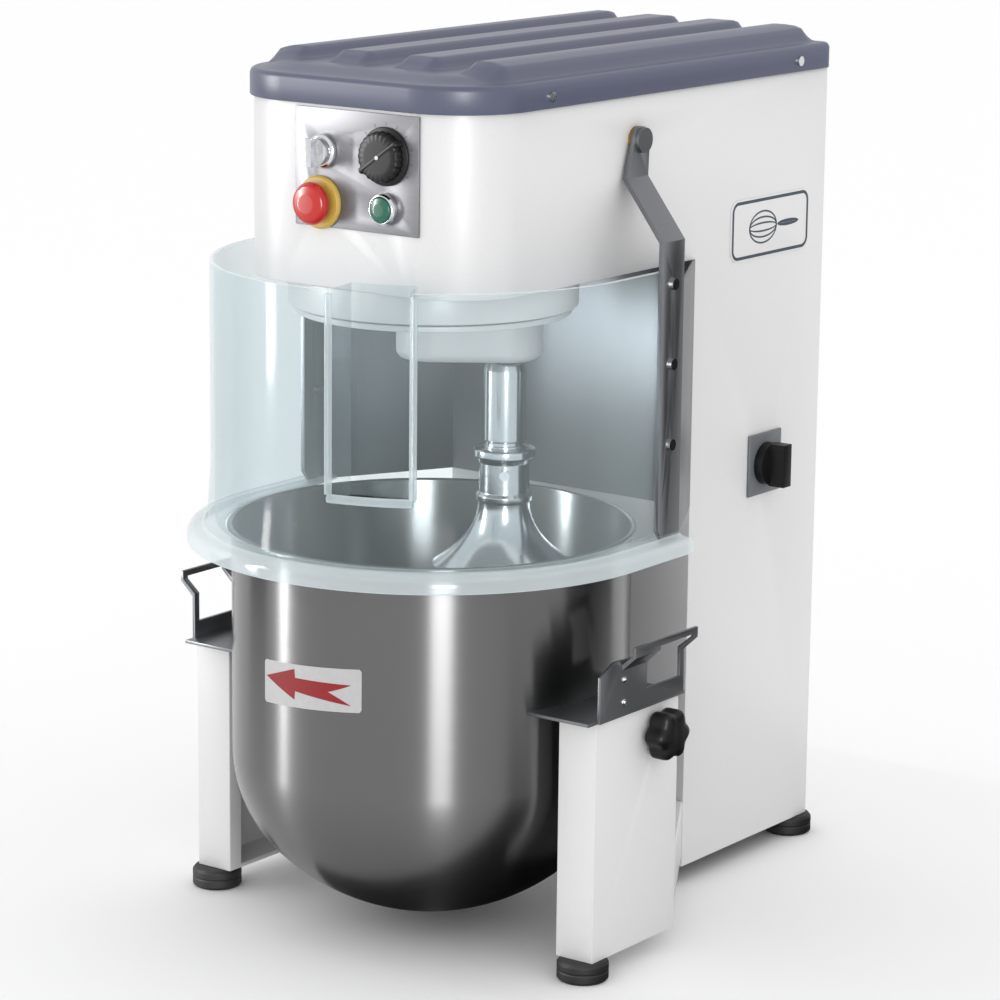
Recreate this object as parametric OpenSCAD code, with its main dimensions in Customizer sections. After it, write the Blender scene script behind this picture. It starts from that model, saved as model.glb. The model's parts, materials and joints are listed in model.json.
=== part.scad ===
// Planetary dough mixer, bench height, with a removable steel bowl and a lift-up guard.
// Millimetres, +Z up. Every module is drawn about the bowl's axis, with the floor at z = 0,
// and placed() then moves it so that the origin is the middle of the whole machine's footprint.
// -Y is the front, where the controls are.

/* [Body] */
// Width of the head and the column
body_w = 298; // [290:1:306]
// Distance from the bowl's axis to the flat front of the head
head_front = 136; // [130:1:140]
// Distance from the bowl's axis to the front of the column
column_front = 230; // [228:1:236]
// Distance from the bowl's axis to the back of the column
body_back = 470; // [460:1:490]
// Height of the head's underside above the floor
head_z = 648; // [645:1:655]
// Height of the top edge of the steel body
body_top = 819; // [815:1:830]
// Radius of the head's two front corners
corner_r = 73; // [65:1:76]
// Thickness of the body's steel sheet
sheet = 3; // [2:0.5:3]

/* [Bowl] */
// Outer radius of the bowl's wall
bowl_r = 195; // [190:1:196]
// Height of the bowl's rim above the floor
rim_z = 402; // [399:1:404]
// Height of the bowl's lowest point above the floor
bowl_floor = 15; // [12:1:18]
// Thickness of the bowl's steel
bowl_t = 2; // [1.5:0.5:2.5]

/* [Mixing head] */
// Distance between the bowl's axis and the tool's axis
tool_e = 70; // [70:1:70]
// Direction in which the tool points at rest, in degrees from +X
tool_angle = 36.3; // [0:0.1:90]
// Teeth of the fixed ring gear
ring_teeth = 56; // [56:1:56]
// Teeth of the tool's pinion
pinion_teeth = 16; // [16:1:16]
// Radius of the whisk's widest circle
whisk_r = 88; // [80:1:90]
// Number of wire loops in the whisk
whisk_loops = 6; // [4:1:6]

/* [Guard] */
// Outer radius of the clear guard
guard_r = 215; // [213:1:217]
// Thickness of the guard's plastic
guard_t = 4; // [3:0.5:4]
// Height of the guard's top edge
guard_top = 662; // [655:1:666]
// Outer radius of the guard's brim
brim_r = 238; // [232:1:240]

/* [Stand] */
// Distance from the middle to a leg's outer face
leg_out = 245; // [243:1:247]
// Width of a leg seen from the front
leg_w = 42; // [38:1:42]
// Depth of a leg, front to back
leg_d = 138; // [130:1:138]
// Height of the legs' top
leg_top = 256; // [252:1:258]
// Height of the feet
foot_h = 20; // [18:1:22]
// Radius of the feet
foot_r = 25; // [22:1:26]

/* [Hidden] */
$fn = 96;

gland_reach = 20;
rear_reach = body_back + 4 + gland_reach;
origin_y = (brim_r - rear_reach) / 2;
run_gap = 0.05;

half_w = body_w / 2;
leg_front = -67;
leg_in = leg_out - leg_w;
foot_x = 228;
foot_y = -58;
rear_foot_x = 134;
rear_foot_y = body_back - 12;

shaft_r = 12;
spindle_r = 20;
gear_m = 3.5;
ring_pitch_r = gear_m * ring_teeth / 2;
pinion_pitch_r = gear_m * pinion_teeth / 2;
gear_z = 627;
gear_h = 16;
carrier_z = 565;
carrier_top = 612;
pulley_z = 764;
pulley_h = 20;
driven_r = 90;
motor_r = 25;
motor_y = 335;
belt_t = 5;

pivot_y = 121;
pivot_z = 777;
pivot_pin_r = 8;
arm_y = 85;
arm_half = 18;
arm_end = 13;
arm_t = 5;
arm_low = 394;
joggle_low = 690;
joggle_high = 741;
guard_back = 103;
screw_z = [649, 572, 494];
screw_r = 2.5;
chute_from = -79.5;
chute_to = -57.5;
chute_low = 463;

bracket_t = 3;
knob_y = 33;
knob_z = 226;

panel_x = [-58, 87];
panel_z = [705, 816];
e_stop_at = [-28, 728];
start_at = [48, 728];
selector_at = [-25, 776];
speed_at = [49, 777];
main_switch_y = 365;
main_switch_z = 421;

module placed() translate([0, origin_y, 0]) children();

module mirrored() {
    children();
    mirror([1, 0, 0]) children();
}

// A cylinder that lies along +Y, from y = 0.
module y_rod(r, h) rotate([-90, 0, 0]) cylinder(r = r, h = h);

// A cylinder that lies along +X, from x = 0.
module x_rod(r, h) rotate([0, 90, 0]) cylinder(r = r, h = h);

module ring(r_out, r_in, h) {
    difference() {
        cylinder(r = r_out, h = h);
        translate([0, 0, -1]) cylinder(r = r_in, h = h + 2);
    }
}

// Places children on the head's flat front, at a point [x, z] of it, with +Z pointing forward.
module on_front(at, proud = 0)
    translate([at[0], -head_front - proud, at[1]]) rotate([90, 0, 0]) children();

// Plan of the head and column, moved in by inset all round.
module body_plan(inset = 0) {
    w = half_w - inset;
    r = corner_r - inset;
    translate([-w, corner_r - head_front]) square([2 * w, body_back - inset + head_front - corner_r]);
    translate([r - w, inset - head_front]) square([2 * (w - r), r + 1]);
    for (side = [-1, 1]) translate([side * (w - r), corner_r - head_front]) circle(r = r);
}

// ---------- Fixed body ----------

module housing() color("white") {
    column_d = body_back - column_front;
    flange = 22;
    difference() {
        union() {
            translate([0, 0, head_z]) linear_extrude(body_top - head_z) body_plan();
            translate([-half_w, column_front, foot_h]) cube([body_w, column_d, body_top - foot_h]);
        }
        translate([0, 0, head_z + sheet]) linear_extrude(body_top) body_plan(sheet);
        translate([sheet - half_w, column_front + sheet, foot_h - 1])
            cube([body_w - 2 * sheet, column_d - 2 * sheet, body_top]);
        translate([flange - half_w, body_back - sheet - 1, foot_h + flange])
            cube([body_w - 2 * flange, sheet + 2, body_top - foot_h - 2 * flange]);
        translate([0, 0, head_z - 1]) cylinder(r = 118, h = sheet + 2);
        for (at = [e_stop_at, start_at, selector_at]) on_front(at, -6) cylinder(r = 11, h = 12);
        on_front(speed_at, -6) cylinder(r = 6, h = 12);
        translate([half_w - 5, main_switch_y, main_switch_z]) x_rod(12, 10);
        translate([-half_w - 5, pivot_y, pivot_z]) x_rod(12, body_w + 10);
    }
}

module lid() color("slategray") {
    lip_h = 26;
    overhang = 4;
    wall = 3;
    difference() {
        union() {
            translate([0, 0, body_top]) linear_extrude(lip_h) body_plan(-overhang);
            hull() {
                translate([0, 0, body_top + lip_h - 1]) linear_extrude(1) body_plan(-overhang, $fn = 32);
                translate([0, 0, body_top + lip_h + 7]) linear_extrude(1) body_plan(28, $fn = 32);
            }
            for (x = [-117, -39, 39, 117])
                translate([x - 22, -75, body_top + lip_h + 2]) cube([44, 510, 16]);
        }
        translate([0, 0, body_top - 1]) linear_extrude(lip_h - 2) body_plan(wall);
    }
}

module rear_cover() color("white") {
    w = body_w - 3;
    low = foot_h + 2;
    high = body_top - 2;
    difference() {
        translate([-w / 2, body_back, low]) cube([w, 2, high - low]);
        for (z = [120:14:260], x = [-70, 70]) translate([x - 45, body_back - 1, z]) cube([90, 4, 5]);
        for (z = [560:14:700]) translate([-60, body_back - 1, z]) cube([120, 4, 5]);
        translate([-60, body_back - 1, 80]) y_rod(10, 4);
    }
}

module base_plate() color("dimgray") {
    difference() {
        translate([sheet - half_w, column_front + sheet, foot_h])
            cube([body_w - 2 * sheet, body_back - column_front - 2 * sheet, 4]);
        translate([0, 350, foot_h - 1]) cylinder(r = 45, h = 6);
    }
}

module leg() {
    t = 3;
    lip = 15;
    h = leg_top - foot_h;
    difference() {
        translate([leg_in, leg_front, foot_h]) cube([leg_w, leg_d, h]);
        translate([leg_in + t, leg_front + t, foot_h + 4]) cube([leg_w - 2 * t, leg_d - 2 * t, h - 4 - t]);
        translate([leg_in - 1, leg_front + t + lip, foot_h + 4])
            cube([t + 2, leg_d - 2 * (t + lip), h - 4 - t]);
        translate([leg_out - 15, knob_y - 20, leg_top - t - 1]) cube([9, 40, t + 2]);
        translate([leg_out - t - 1, knob_y, knob_z]) x_rod(5 + run_gap, t + 2);
    }
}

module leg_right() color("white") leg();

module leg_left() color("white") mirror([1, 0, 0]) leg();

module cradle_arms() color("white") {
    low = 30;
    h = 60;
    back = leg_front + leg_d;
    t = 3;
    mirrored() difference() {
        translate([0, 0, low]) linear_extrude(h)
            polygon([[leg_out - 2, back], [leg_in, back], [half_w - 41, column_front], [half_w - 1, column_front]]);
        translate([0, 0, low + t]) linear_extrude(h - 2 * t)
            polygon([[leg_out - 2 - t, back - 1], [leg_in + t, back - 1],
                [half_w - 41 + t, column_front + 1], [half_w - 1 - t, column_front + 1]]);
    }
}

module foot() {
    cylinder(r = foot_r - 1.5, h = foot_h);
    translate([0, 0, 2]) cylinder(r = foot_r, h = foot_h - 4);
}

module feet() color("black") mirrored() {
    translate([foot_x, foot_y, 0]) foot();
    translate([rear_foot_x, rear_foot_y, 0]) foot();
}

module gear_housing() color("white") {
    low = 620;
    difference() {
        union() {
            translate([0, 0, low]) cylinder(r = 140, h = head_z - low);
            translate([0, 0, head_z]) cylinder(r = 117, h = 6);
            translate([0, 0, head_z]) cylinder(r = 48, h = 104);
        }
        translate([0, 0, low - 1]) cylinder(r = 112, h = 26);
        translate([0, 0, low]) cylinder(r = 36, h = 200);
        translate([0, 0, 656]) cylinder(r = 40, h = 16);
        translate([0, 0, 734]) cylinder(r = 40, h = 30);
    }
}

module ring_gear() color("darkgray") {
    m = gear_m;
    pitch = 360 / ring_teeth;
    tip = ring_pitch_r - 0.8 * m;
    root = ring_pitch_r + 1.25 * m;
    difference() {
        translate([0, 0, gear_z]) cylinder(r = 112, h = gear_h);
        translate([0, 0, gear_z - 1]) cylinder(r = tip, h = gear_h + 2);
        translate([0, 0, gear_z - 1]) rotate([0, 0, tool_angle]) linear_extrude(gear_h + 2)
            for (i = [0:ring_teeth - 1]) rotate([0, 0, i * pitch])
                polygon([for (p = [[tip - 1, 0.37], [ring_pitch_r, 0.29], [root, 0.17],
                    [root, -0.17], [ring_pitch_r, -0.29], [tip - 1, -0.37]])
                    p[0] * [cos(p[1] * pitch), sin(p[1] * pitch)]]);
    }
}

module spindle_bearings() color("silver") {
    for (z = [656, 734]) translate([0, 0, z]) difference() {
        cylinder(r = 40, h = 16);
        translate([0, 0, -1]) cylinder(r = spindle_r + run_gap, h = 18);
        for (z = [-1, 14]) translate([0, 0, z]) ring(34, 27, 3);
    }
}

module control_panel() color("silver") {
    w = panel_x[1] - panel_x[0];
    h = panel_z[1] - panel_z[0];
    difference() {
        translate([panel_x[0], -head_front - 2, panel_z[0]]) cube([w, 2, h]);
        for (at = [e_stop_at, start_at, selector_at]) on_front(at, -6) cylinder(r = 11, h = 12);
        on_front(speed_at, -6) cylinder(r = 6, h = 12);
    }
}

// The contact blocks and the speed control's body behind the panel.
module switch_bodies() color("dimgray") {
    for (at = [e_stop_at, start_at, selector_at]) {
        on_front(at, -sheet - 34) translate([-15, -20, 0]) cube([30, 40, 34]);
        on_front(at, -sheet - 1) difference() {
            cylinder(r = 10.8, h = sheet + 3);
            translate([0, 0, 1]) cylinder(r = 6.2, h = sheet + 3);
        }
    }
    on_front(speed_at, -sheet - 24) ring(20, 3.2, 24);
}

module e_stop_collar() color("gold") on_front(e_stop_at, 2) ring(25, 11.5, 5);

module e_stop_button() color("red") {
    on_front(e_stop_at, 12.5) cylinder(r1 = 20, r2 = 15, h = 12);
    on_front(e_stop_at, 3) cylinder(r = 6, h = 10);
}

module start_bezel() color("silver") on_front(start_at, 2) ring(15, 12.2, 7);

module start_button() color("seagreen") {
    on_front(start_at, 6) cylinder(r = 12, h = 6);
    on_front(start_at, 2) cylinder(r = 6, h = 4);
}

module selector_bezel() color("silver") on_front(selector_at, 2) ring(16, 6.5, 6);

module selector_knob() color("silver") {
    on_front(selector_at, 8.5) {
        cylinder(r = 13, h = 6);
        translate([-4.5, -13, 5]) cube([9, 26, 12]);
    }
    on_front(selector_at, 2) cylinder(r = 6, h = 7);
}

module speed_knob() color("black") {
    on_front(speed_at, 2.5) cylinder(r = 27.5, h = 4);
    on_front(speed_at, 6) cylinder(r = 24, h = 10);
    on_front(speed_at, 6) rotate([0, 0, -55]) translate([-3, -27, 0]) cube([6, 54, 9]);
    on_front(speed_at, -sheet - 10) cylinder(r = 3, h = sheet + 14);
}

module main_switch_plate() color("gray") {
    w = 60;
    h = 64;
    difference() {
        translate([half_w, main_switch_y - w / 2, main_switch_z - h / 2]) cube([3, w, h]);
        translate([half_w - 1, main_switch_y, main_switch_z]) x_rod(8.2, 5);
    }
    difference() {
        translate([half_w - 44, main_switch_y - 24, main_switch_z - 24]) cube([38, 48, 48]);
        translate([half_w - 11, main_switch_y, main_switch_z]) x_rod(8.2, 6);
    }
}

module main_switch_knob() color("black") translate([0, main_switch_y, main_switch_z]) {
    translate([half_w + 3.5, 0, 0]) x_rod(22, 9.5);
    translate([half_w + 12, -7, -22]) cube([18, 14, 44]);
    translate([half_w - 10, 0, 0]) x_rod(8, 14);
}

module badge_plate() color("whitesmoke") {
    low = [292, 636];
    size = [146, 62];
    r = 12;
    translate([half_w, 0, 0]) rotate([90, 0, 90]) linear_extrude(1.5) translate(low) union() {
        translate([r, 0]) square([size[0] - 2 * r, size[1]]);
        translate([0, r]) square([size[0], size[1] - 2 * r]);
        for (x = [r, size[0] - r], y = [r, size[1] - r]) translate([x, y]) circle(r = r);
    }
}

module lid_screws() color("silver") mirrored()
    for (y = [-24, 408]) translate([half_w + 4, y, body_top + 11]) x_rod(5, 2.5);

module rear_cover_screws() color("silver")
    for (x = [-137, 137], z = [60, 300, 540, 780]) translate([x, body_back + 2, z]) y_rod(5, 2);

// Steel splash shield behind the bowl: a back panel on the column and a wing to each guard arm.
module rear_shield() color("dimgray") {
    low = 398;
    h = head_z - low;
    t = 2;
    wing_x = guard_r + 1;
    wing_y = guard_back + 3;
    translate([0, 0, low]) linear_extrude(h)
        polygon([[-wing_x, wing_y], [-half_w, column_front], [half_w, column_front], [wing_x, wing_y],
            [wing_x - t, wing_y], [half_w - t, column_front - t], [t - half_w, column_front - t],
            [t - wing_x, wing_y]]);
}

// ---------- Drive ----------

module motor() color("slategray") translate([0, motor_y, 0]) {
    difference() {
        union() {
            translate([0, 0, 560]) cylinder(r = 62, h = 150);
            for (z = [575:12:690]) translate([0, 0, z]) cylinder(r = 68, h = 4);
            translate([0, 0, 545]) cylinder(r = 66, h = 20);
            translate([-50, -82, 600]) cube([100, 40, 70]);
        }
        translate([0, 0, 650]) cylinder(r = shaft_r + run_gap, h = 100);
    }
}

module motor_plate() color("dimgray") {
    difference() {
        translate([sheet - half_w, 250, 710]) cube([body_w - 2 * sheet, 190, 6]);
        translate([0, motor_y, 709]) cylinder(r = 30, h = 8);
    }
}

module motor_shaft() color("silver") translate([0, motor_y, 655]) cylinder(r = shaft_r, h = 133);

module pulley(r, bore) difference() {
    union() {
        cylinder(r = r, h = pulley_h);
        for (z = [-3, pulley_h]) translate([0, 0, z]) cylinder(r = r + 4, h = 3);
    }
    translate([0, 0, -4]) cylinder(r = bore, h = pulley_h + 8);
}

module motor_pulley() color("dimgray") translate([0, motor_y, pulley_z]) pulley(motor_r, shaft_r);

module driven_pulley() color("dimgray") translate([0, 0, pulley_z]) pulley(driven_r, spindle_r);

module belt_loop(grow) hull() {
    circle(r = driven_r + grow);
    translate([0, motor_y]) circle(r = motor_r + grow);
}

module drive_belt() color("black") translate([0, 0, pulley_z + 1.5]) linear_extrude(pulley_h - 3)
    difference() {
        belt_loop(belt_t);
        belt_loop(0.5);
    }

module main_spindle() color("silver") translate([0, 0, 575]) cylinder(r = spindle_r, h = 215);

// Everything on the carrier is drawn with the tool's axis on +X, then turned to its rest angle.
module on_carrier() rotate([0, 0, tool_angle]) children();

module planet_carrier() color("white") {
    difference() {
        union() {
            translate([0, 0, carrier_top]) cylinder(r = 134, h = 6);
            on_carrier() {
                translate([0, 0, carrier_z]) cylinder(r = 36, h = carrier_top - carrier_z + 1);
                translate([tool_e, 0, carrier_z]) cylinder(r = 36, h = carrier_top - carrier_z + 1);
                translate([0, -36, carrier_z]) cube([tool_e, 72, carrier_top - carrier_z + 1]);
            }
        }
        translate([0, 0, 575]) cylinder(r = spindle_r, h = 60);
        on_carrier() {
            translate([tool_e, 0, carrier_z - 1]) cylinder(r = 26, h = 24);
            translate([tool_e, 0, carrier_z]) cylinder(r = shaft_r + 2, h = 80);
        }
    }
}

module tool_bearing() color("silver") on_carrier() translate([tool_e, 0, carrier_z + 5])
    ring(26, shaft_r + run_gap, 18);

module tool_shaft() color("silver") on_carrier() translate([tool_e, 0, 0]) difference() {
    union() {
        translate([0, 0, 440]) cylinder(r = 21, h = carrier_z - 3 - 440);
        translate([0, 0, carrier_z - 4]) cylinder(r = shaft_r, h = 648 - carrier_z);
    }
    translate([0, 34, 455]) rotate([90, 0, 0]) cylinder(r = 5, h = 68);
}

module pinion() color("darkgray") {
    m = gear_m;
    pitch = 360 / pinion_teeth;
    tip = pinion_pitch_r + 0.8 * m;
    root = pinion_pitch_r - 1.25 * m;
    on_carrier() translate([tool_e, 0, gear_z + 0.5]) difference() {
        linear_extrude(gear_h - 1) polygon([for (i = [0:pinion_teeth - 1])
            for (p = [[root, -0.26], [pinion_pitch_r, -0.19], [tip, -0.09], [tip, 0.09],
                [pinion_pitch_r, 0.19], [root, 0.26]])
                p[0] * [cos((i + p[1]) * pitch), sin((i + p[1]) * pitch)]]);
        translate([0, 0, -1]) cylinder(r = shaft_r, h = gear_h + 2);
    }
}

module drive_pin() color("silver") on_carrier() translate([tool_e, 33, 455]) rotate([90, 0, 0])
    cylinder(r = 5, h = 66);

// Radius of the whisk's bell at a height t from 0 at the collar to 1 at its rim.
function bell_radius(t) = 30 + 40 * pow(t, 2.2);

module whisk_hub() color("silver") {
    bell_top = 424;
    bell_h = 64;
    steps = 10;
    on_carrier() translate([tool_e, 0, 0]) difference() {
        union() {
            translate([0, 0, bell_top]) cylinder(r = 28, h = 52);
            translate([0, 0, 468]) cylinder(r = 31, h = 10);
            translate([0, 0, bell_top - 4]) cylinder(r = 33, h = 6);
            rotate_extrude() polygon(concat([[0, bell_top], [0, bell_top - bell_h - 8]],
                [[70, bell_top - bell_h - 8]],
                [for (i = [steps:-1:0]) [bell_radius(i / steps), bell_top - bell_h * i / steps]]));
        }
        translate([0, 0, 440]) cylinder(r = 21, h = 60);
        translate([0, 34, 455]) rotate([90, 0, 0]) cylinder(r = 5, h = 68);
    }
}

// One loop: straight down from the hub, round the bottom on a circle, and straight up again.
module whisk_loop(low) {
    wire_r = 2;
    top = [62, 354];
    centre_z = low + whisk_r;
    reach = norm([top[0], top[1] - centre_z]);
    turn = atan2(top[1] - centre_z, top[0]) - acos(whisk_r / reach);
    leg_len = sqrt(reach * reach - whisk_r * whisk_r) + 6;
    translate([0, 0, centre_z]) {
        rotate([90, 0, 0]) rotate([0, 0, 180 - turn]) rotate_extrude(angle = 180 + 2 * turn)
            translate([whisk_r, 0]) circle(r = wire_r + 0.05, $fn = 16);
        mirrored() rotate([0, -turn, 0]) translate([whisk_r, 0, -1])
            cylinder(r = wire_r, h = leg_len + 1, $fn = 16);
    }
}

module whisk_wires() color("silver") on_carrier() translate([tool_e, 0, 0])
    for (i = [0:whisk_loops - 1]) rotate([0, 0, i * 180 / whisk_loops + 15]) whisk_loop(62 + 4.3 * i);

// ---------- Bowl ----------

// Half section of the bowl's outer form, moved in by inset: a straight wall, a knuckle arc and a
// flatter crown arc that meets it on the line through both centres.
module bowl_section(inset, top) {
    wall_low = 178;
    knuckle = 140;
    kx = bowl_r - knuckle;
    depth = wall_low - bowl_floor;
    rise = (kx * kx - pow(depth - knuckle, 2)) / (2 * (depth - knuckle));
    crown = depth + rise;
    far = 2 * crown;
    translate([0, wall_low - 0.01]) square([bowl_r - inset, top - wall_low]);
    intersection() {
        translate([0, wall_low + rise]) circle(r = crown - inset);
        polygon([[0, wall_low + rise], [0, -far], [far * kx / rise, wall_low + rise - far]]);
        translate([0, -far]) square([far, far + wall_low]);
    }
    intersection() {
        translate([kx, wall_low]) circle(r = knuckle - inset);
        polygon([[kx, wall_low], [kx + far * kx / rise, wall_low - far], [far + kx, wall_low]]);
    }
}

module bowl() color("silver") {
    difference() {
        rotate_extrude() bowl_section(0, rim_z);
        rotate_extrude() bowl_section(bowl_t, rim_z + 10);
    }
    translate([0, 0, rim_z - 2]) rotate_extrude() translate([bowl_r + 1.5, 0]) circle(r = 3, $fn = 24);
}

// Bracket that carries the bowl on a leg: shelf, side wall with a hand window, bent-out grip and
// the slotted tongue that the clamp's stud holds.
// turned swaps the side wall's front and back, as when the same part is used on the other side.
module bowl_bracket(turned = false) {
    wall_x = leg_out + 2;
    front = leg_front - 1;
    back = leg_front + leg_d + 3;
    grip_front = -33;
    bend_z = 303;
    t = bracket_t;
    difference() {
        translate([150, leg_front - 16, leg_top]) cube([wall_x + t - 150, back - leg_front + 16, t]);
        translate([0, 0, leg_top - 1]) cylinder(r = bowl_r - 0.5, h = t + 2);
        translate([wall_x - 0.01, leg_front - 17, leg_top - 1]) cube([t + 1, 16, t + 2]);
    }
    translate([0, turned ? 2 * leg_front + leg_d : 0, 0]) mirror([0, turned ? 1 : 0, 0]) {
        difference() {
            union() {
                translate([wall_x, 0, 0]) rotate([90, 0, 90]) linear_extrude(t)
                    polygon([[front, leg_top], [back - 2, leg_top], [back - 2, bend_z],
                        [grip_front, bend_z + 8], [grip_front - 14, bend_z + 8], [front, bend_z - 2]]);
                translate([0, back - 2, 0]) rotate([90, 0, 0]) linear_extrude(back - 2 - grip_front)
                    polygon([[wall_x, bend_z - 2], [wall_x + t, bend_z - 2], [wall_x + 18, bend_z + 12],
                        [wall_x + 18, bend_z + 22], [wall_x + 15, bend_z + 22],
                        [wall_x + 15, bend_z + 13.5], [wall_x, bend_z + 1]]);
            }
            translate([wall_x - 1, 9, 275]) cube([20, 56, bend_z + 16 - 275]);
        }
    }
    difference() {
        translate([leg_out - 12, knob_y - 15, knob_z - 14]) cube([4, 30, leg_top - knob_z + 14]);
        translate([leg_out - 13, knob_y - 6, knob_z - 15]) cube([6, 12, 15]);
        translate([leg_out - 13, knob_y, knob_z]) x_rod(6, 6);
    }
}

module bowl_bracket_right() color("dimgray") bowl_bracket();

module bowl_bracket_left() color("dimgray") mirror([1, 0, 0]) bowl_bracket(turned = true);

module rotation_label() color("lightgray") translate([0, 0, 256]) rotate([0, 0, -106.5])
    rotate_extrude(angle = 34.5) translate([bowl_r + 0.02, 0]) square([0.4, 42]);

// Lobed clamp knob with its stud, which passes through the leg's side into the tongue's slot.
module clamp_knob() translate([0, knob_y, knob_z]) {
    translate([leg_out + 0.5, 0, 0]) x_rod(13, 4);
    translate([leg_out + 3.5, 0, 0]) x_rod(20, 22);
    for (a = [0:60:300]) rotate([a, 0, 0]) translate([leg_out + 3.5, 19.5, 0]) x_rod(6, 22);
    translate([leg_out - 16, 0, 0]) x_rod(5, 24);
    translate([leg_out - 19, 0, 0]) x_rod(9, 4);
}

module clamp_knob_right() color("black") clamp_knob();

module clamp_knob_left() color("black") mirror([1, 0, 0]) clamp_knob();

// ---------- Guard ----------

// Plan of the guard: half a circle in front and straight sides behind, grown by a distance.
module guard_plan(grow = 0, back = guard_back) {
    r = guard_r + grow;
    intersection() {
        circle(r = r);
        translate([-r, -r]) square([2 * r, r]);
    }
    translate([-r, -0.01]) square([2 * r, back]);
}

module guard_wall_ring(out, inn) difference() {
    guard_plan(out);
    guard_plan(inn, guard_back + 2);
}

// The chute's slice of the plan, between its two radial sides.
module chute_slice(from, to) polygon([[0, 0], 400 * [cos(from), sin(from)], 400 * [cos(to), sin(to)]]);

// Clearance for the screws that hold the guard's wall to the arms.
module guard_screw_holes() mirrored() for (z = screw_z)
    translate([guard_r - guard_t - 1, arm_y, z]) x_rod(screw_r, guard_t + arm_t + 2);

module guard_shell() color("lightblue", 0.4) difference() {
    guard_moulding();
    guard_screw_holes();
    mirrored() translate([guard_r, arm_y - arm_half, rim_z - 4]) cube([arm_t, 2 * arm_half + 1, 5]);
}

module guard_moulding() {
    inner_r = bowl_r + 6;
    lip = 15;
    difference() {
        translate([0, 0, rim_z - 3]) linear_extrude(guard_top - rim_z + 3) guard_wall_ring(0, -guard_t);
        translate([0, 0, chute_low]) linear_extrude(300) chute_slice(chute_from, chute_to);
    }
    translate([0, 0, rim_z - 3]) linear_extrude(3) guard_wall_ring(brim_r - guard_r, inner_r - guard_r);
    translate([0, 0, rim_z - lip]) linear_extrude(lip) guard_wall_ring(brim_r - guard_r, brim_r - guard_r - 3);
}

// Loading chute: two side walls and a sloping inner wall that leads down to the bowl.
module guard_chute() color("lightblue", 0.4) {
    depth = 42;
    t = 3;
    r = guard_r - guard_t;
    mid = (chute_from + chute_to) / 2;
    difference() {
        translate([0, 0, chute_low]) linear_extrude(guard_top - chute_low) intersection() {
            chute_slice(chute_from, chute_to);
            difference() {
                circle(r = guard_r);
                circle(r = r - depth);
            }
        }
        translate([0, 0, chute_low - 1]) linear_extrude(guard_top - chute_low + 2) intersection() {
            chute_slice(chute_from + 0.8, chute_to - 0.8);
            difference() {
                circle(r = guard_r + 5);
                circle(r = r - depth + t);
            }
        }
    }
    rotate([0, 0, mid]) translate([r - 5, -38, chute_low]) cube([8, 76, 6]);
}

module guard_arm() {
    y0 = arm_y - arm_half;
    w = 2 * arm_half;
    top_x = half_w + 3;
    lean = pivot_y - 7;
    difference() {
        union() {
            translate([guard_r, 0, 0]) rotate([90, 0, 90]) linear_extrude(arm_t)
                polygon([[y0, joggle_low], [y0, arm_low + 18], [y0 + 14, arm_low], [y0 + w, arm_low],
                    [y0 + w, joggle_low]]);
            hull() {
                translate([guard_r, y0, joggle_low - 1]) cube([arm_t, w, 1]);
                translate([top_x, lean - arm_half, joggle_high]) cube([arm_t, w, 1]);
            }
            translate([top_x, 0, 0]) rotate([90, 0, 90]) linear_extrude(arm_t) union() {
                polygon([[lean - arm_half, joggle_high], [lean + arm_half, joggle_high],
                    [pivot_y + arm_end, pivot_z], [pivot_y - arm_end, pivot_z]]);
                translate([pivot_y, pivot_z]) circle(r = arm_end);
            }
        }
        translate([top_x - 1, pivot_y, pivot_z]) x_rod(pivot_pin_r, arm_t + 2);
        guard_screw_holes();
    }
}

module guard_arm_right() color("dimgray") guard_arm();

module guard_arm_left() color("dimgray") mirror([1, 0, 0]) guard_arm();

module guard_screws() color("silver") mirrored() for (z = screw_z)
    translate([guard_r - guard_t - 3, arm_y, z]) {
        x_rod(screw_r, guard_t + arm_t + 5);
        x_rod(5, 3);
        translate([guard_t + arm_t + 3, 0, 0]) x_rod(5.5, 3);
    }

// Pins fixed in the arms. They turn in the bushes, and the right one carries the cam that works
// the interlock switch.
module guard_pivot_pins() color("silver") {
    mirrored() translate([half_w - 16, pivot_y, pivot_z]) {
        x_rod(pivot_pin_r, 26);
        translate([24, 0, 0]) x_rod(12, 4);
        x_rod(11, 3);
    }
    translate([half_w - 22, pivot_y, pivot_z]) difference() {
        x_rod(16, 6);
        translate([-1, -20, -40]) cube([8, 40, 30]);
    }
}

module pivot_bushes() color("goldenrod") mirrored()
    translate([half_w - 12, pivot_y, pivot_z]) difference() {
        union() {
            x_rod(12, 14);
            x_rod(16, 8.9);
        }
        translate([-1, 0, 0]) x_rod(pivot_pin_r + run_gap, 17);
    }

module guard_switch() color("gold") translate([half_w - 27, pivot_y - 16, pivot_z - 62])
    union() {
        cube([24, 32, 42]);
        translate([5, 12, 42]) cube([6, 8, 3]);
    }

module inverter() color("lightgray") {
    translate([-60, 300, 130]) cube([120, 90, 200]);
    for (x = [-55:10:55]) translate([x - 1.5, 388, 135]) cube([3, 32, 190]);
    translate([sheet - half_w, 330, 120]) cube([6, 80, 220]);
    translate([sheet - half_w + 5, 340, 200]) cube([half_w - 65 + 2, 60, 5]);
}

module cable_gland() color("black") translate([-60, body_back + 2, 80]) difference() {
    union() {
        y_rod(15, 8);
        translate([0, 8, 0]) y_rod(12, gland_reach - 6);
        translate([0, -8, 0]) y_rod(9.8, 10);
    }
    translate([0, -9, 0]) y_rod(5, gland_reach + 12);
}

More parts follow.
